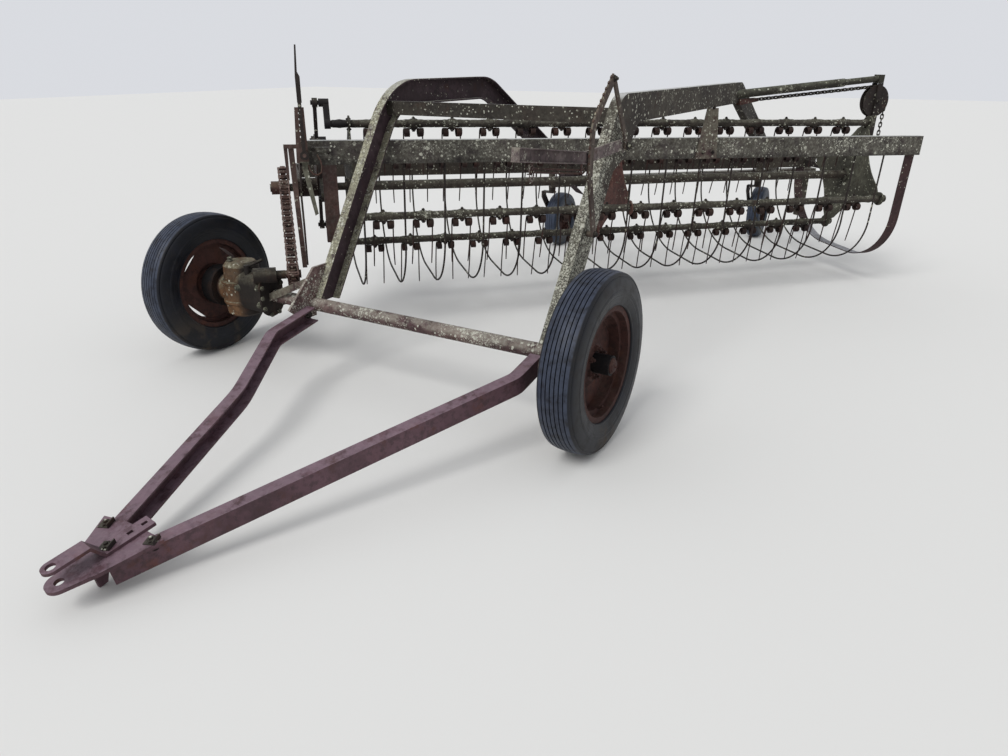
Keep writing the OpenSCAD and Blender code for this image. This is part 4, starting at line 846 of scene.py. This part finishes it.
def main_wheel_trim(side, s):
    """Nuts, hub cap and valve of a main wheel."""
    bm = bmesh.new()
    hub = Matrix.Translation(HUBS[side]) @ Matrix.Rotation(radians(90 * s), 4, "Y")
    for t in range(0, 360, 60):
        bolt(bm, hub @ Matrix.Translation((*around(0.056, t), 0.004)), 0.021, 0.013, stub=0.010)
    # Cap with a rolled edge and a grease nipple
    lathe(bm, hub, [(0.030, 0.0715), (0.030, 0.076), (0.027, 0.079), (0.025, 0.079), (0.022, 0.083),
                    (0.006, 0.085), (0.004, 0.090), (0.002, 0.092), (0, 0.092)], 28)
    valve = ((0.183, 0, 0.020), (0.179, 0, 0.034), (0.170, 0, 0.046))
    sweep(bm, [hub @ Vector(p) for p in valve], 0.004, 10)
    put(bm, "wheel_nuts_" + side, "wheel_%s_body" % side, "rim_rust")


def caster_trim(side):
    """Nuts on both faces of a caster's wheel; washer and pin on its pivot, and the axle's nut on its arm."""
    x, y = CASTER_PIVOTS[side]
    hub = CASTER_HUBS[side]
    bm = bmesh.new()
    for s in (-1, 1):
        face = Matrix.Translation(hub) @ Matrix.Rotation(radians(90 * s), 4, "Y")
        for t in (45, 135, 225, 315):
            bolt(bm, face @ Matrix.Translation((*around(0.045, t), 0.0029)), 0.013, 0.007, stub=0.0)
    put(bm, "caster_nuts_" + side, "caster_%s_wheel" % side, "rim_rust")
    bm = bmesh.new()
    top = Matrix.Translation(machine(x, y, 640))
    lathe(bm, top, [(0.014, -0.0005), (0.013, 0.005), (0.008, 0.008), (0, 0.009)], 20)
    pin = ((-0.024, 0, -0.012), (0, 0, -0.012), (0.026, 0.004, -0.013))
    sweep(bm, [top @ Vector(p) for p in pin], 0.003, 8)
    bolt(bm, looking(hub - Vector((0.0755, 0, 0)), (-1, 0, 0)), 0.026, 0.012)
    put(bm, "caster_pins_" + side, "caster_" + side, "dark_steel")


def reel_trim():
    """Bolts of the bars' bearing plates on both sides of each head, and of the heads' hubs."""
    bm = bmesh.new()
    for x in HEADS:
        for a in BAR_ANGLES:
            middle = Vector((x, *around(REEL_R, a)))
            for t in (a + 60, a + 180, a + 300):
                for s in (-1, 1):
                    at = middle + Vector((s * 0.004, *around(0.029, t)))
                    bolt(bm, BASKET @ looking(at, (s, 0, 0)), 0.011, 0.006, washer=False, stub=0.003)
        for t in range(0, 360, 90):
            at = (x - 0.0195, *around(0.033, t))
            bolt(bm, BASKET @ looking(at, (-1, 0, 0)), 0.012, 0.006, washer=False, stub=0.003)
    put(bm, "reel_bolts", "reel", "dark_steel")


# Levers, lift and beam's end; the rack's route is in metres of the machine's frame, as (y, z)

RACK = ((0.240, 0.960), (0.243, 1.020), (0.246, 1.080), (0.252, 1.140), (0.282, 1.184), (0.330, 1.229),
        (0.378, 1.274), (0.405, 1.299))
RACK_X = 0.898
RACK_TEETH = 15

# Frame of the hand lever's grip, y along it from its free end
GRIP = MACHINE @ Matrix.Translation((0.870, -0.307, 1.104)) @ Matrix.Rotation(radians(-6.85), 4, "X")


def rack_teeth():
    """Teeth along the outer edge of the left quadrant."""
    bm = bmesh.new()
    lengths = [0.0]
    for a, b in zip(RACK, RACK[1:]):
        lengths.append(lengths[-1] + hypot(b[0] - a[0], b[1] - a[1]))
    for i in range(RACK_TEETH):
        d = lengths[-1] * i / (RACK_TEETH - 1)
        k = max(j for j in range(len(RACK) - 1) if lengths[j] <= d + 1e-9)
        t = (d - lengths[k]) / (lengths[k + 1] - lengths[k])
        (y, z), (next_y, next_z) = RACK[k], RACK[k + 1]
        place = (MACHINE @ Matrix.Translation((RACK_X, y + t * (next_y - y), z + t * (next_z - z)))
                 @ Matrix.Rotation(atan2(next_z - z, next_y - y), 4, "X"))
        block(bm, place, (-0.0035, -0.0055, 0.014), (0.0035, 0.0055, 0.0215), 0.0015)
    put(bm, "rack_teeth", "frame", "rust_steel")


def lever_channel():
    """Flanges and end that make the lever's grip a channel."""
    bm = bmesh.new()
    block(bm, GRIP, (0.0155, 0.000, 0.0185), (0.037, 0.500, 0.0222), 0.0012)
    block(bm, GRIP, (0.0155, 0.000, -0.0222), (0.037, 0.500, -0.0185), 0.0012)
    block(bm, GRIP, (0.0155, -0.0005, -0.0215), (0.036, 0.003, 0.0215), 0.0012)
    put(bm, "lever_channel", "left_lever_body", "arch_paint", material=SPECIAL["left_lever"])


def latch_rods():
    """Two rods under the grip, in the lever's plane, and their guides."""
    bm = bmesh.new()
    route = ((0.110, 0.012), (0.116, 0.001), (0.130, 0.0), (0.300, -0.002), (0.528, -0.004), (0.545, 0.004))
    for drop in (-0.040, -0.052):
        sweep(bm, [GRIP @ Vector((0.011, y, drop + z)) for y, z in route], 0.0038, 10)
    for y in (0.115, 0.500):
        block(bm, GRIP, (0.0162, y - 0.008, -0.060), (0.0190, y + 0.008, -0.020), 0.001)
        block(bm, GRIP, (0.0060, y - 0.008, -0.060), (0.0190, y + 0.008, -0.0565), 0.001)
    put(bm, "latch_rods", "left_lever_body", "rust_steel")


def wire_loop():
    """A loop of wire that hangs on the grip, a little over two and a half turns bent by hand."""
    bm = bmesh.new()
    luck = random.Random(5)
    loop = []
    for i in range(61):
        t = TAU * 2.6 * i / 60
        x = 890 + 4 * sin(1.7 * t) + luck.uniform(-0.6, 0.6)
        y = -205 + (13 + 3 * sin(t * 0.4)) * sin(t)
        loop.append(machine(x, y, 1036 - (27 + 2 * cos(0.6 * t)) * cos(t)))
    sweep(bm, loop, 0.0014, 6)
    put(bm, "wire_loop", "left_lever_body", "axle_paint")


def lift_fork():
    """Two tapered plates from the left arch's corner, with the pin that holds the end of the lift chain."""
    foot = BASKET.inverted() @ machine(870, 2420, 1180)
    slope = atan2(LIFT_ARM_TIP.z - foot.z, LIFT_ARM_TIP.x - foot.x)
    ahead, up = Vector((cos(slope), 0, sin(slope))), Vector((-sin(slope), 0, cos(slope)))
    held = PULLEY + up * 0.087 - ahead * 0.880
    root = foot - up * 0.045
    nose = held + (held - root).normalized() * 0.016
    bm = bmesh.new()
    for side in (-1, 1):
        corners = []
        for at, half in ((root, 0.017), (nose, 0.010)):
            for y in (side * 0.013, side * 0.019):
                for z in (-half, half):
                    corners.append(bm.verts.new(BASKET @ (at + Vector((0, y, 0)) + up * z)))
        faces = ((0, 1, 3, 2), (4, 6, 7, 5), (0, 2, 6, 4), (1, 5, 7, 3), (0, 4, 5, 1), (2, 3, 7, 6))
        made = [bm.faces.new([corners[i] for i in face]) for face in faces]
        edges = list(dict.fromkeys(edge for face in made for edge in face.edges))
        bmesh.ops.bevel(bm, geom=edges, offset=0.0014, segments=2, affect="EDGES")
    sweep(bm, [BASKET @ (held + Vector((0, y, 0))) for y in (-0.024, 0.0, 0.024)], 0.0032, 12)
    put(bm, "lift_fork", "frame", "rust_steel")


def beam_end_trim():
    """Bail of bent wire at the beam's right end and the ring of the hanging handle."""
    bm = bmesh.new()
    bail = ((-1.772, -0.431, 0.176), (-1.765, -0.447, 0.150), (-1.752, -0.449, 0.128),
            (-1.730, -0.449, 0.122), (-1.712, -0.449, 0.134), (-1.708, -0.449, 0.160),
            (-1.712, -0.443, 0.186), (-1.722, -0.430, 0.205), (-1.724, -0.416, 0.212))
    sweep(bm, [BASKET @ Vector(p) for p in bail], 0.004, 10)
    hoop = []
    for t in range(0, 361, 15):
        hoop.append(BASKET @ Vector((-1.783 + around(0.014, t)[0], -0.441, 0.150 + around(0.016, t)[1])))
    sweep(bm, hoop, 0.003, 8)
    put(bm, "beam_end_wire", "frame", "rust_steel")


tyres()
crust()
tines()
drive_chain()
frame_bolts()
gearbox_bolts()
tongue_bolts()
main_wheel_trim("left", 1)
main_wheel_trim("right", -1)
caster_trim("left")
caster_trim("right")
reel_trim()
rack_teeth()
lever_channel()
latch_rods()
wire_loop()
lift_fork()
beam_end_trim()


# Floor, light and camera

def principled(material):
    material.use_nodes = True
    return material.node_tree.nodes["Principled BSDF"].inputs


def stage_and_light():
    bpy.ops.mesh.primitive_plane_add(size=60, location=(0, 2, GROUND))
    floor = bpy.context.object
    floor.name = "floor"
    pale = bpy.data.materials.new("floor_pale")
    surface = principled(pale)
    surface["Base Color"].default_value = colour("#d9d8d4")
    surface["Roughness"].default_value = 0.95
    floor.data.materials.append(pale)
    world = bpy.data.worlds.new("studio")
    bpy.context.scene.world = world
    world.use_nodes = True
    background = world.node_tree.nodes["Background"].inputs
    background["Color"].default_value = (0.93, 0.95, 1.0, 1.0)
    background["Strength"].default_value = 0.75
    sun = bpy.data.objects.new("key", bpy.data.lights.new("key", "SUN"))
    sun.data.energy = 1.6
    sun.data.angle = radians(25)
    sun.rotation_euler = (radians(38), radians(-18), radians(15))
    bpy.context.collection.objects.link(sun)


def photo_camera():
    """The photograph's view: where its lens was, 23.6 degrees downwards and 30.53 degrees to the left."""
    camera = bpy.data.objects.new("photo_camera", bpy.data.cameras.new("photo_camera"))
    camera.location = (1.815, -0.736919, 1.249788)
    camera.rotation_euler = (radians(90 - 23.6), radians(0.07), radians(30.53))
    camera.data.lens = 26.007
    camera.data.sensor_width = 36.0
    camera.data.clip_end = 200.0
    bpy.context.collection.objects.link(camera)
    bpy.context.scene.camera = camera


stage_and_light()
photo_camera()
bpy.context.scene.view_settings.view_transform = "Standard"
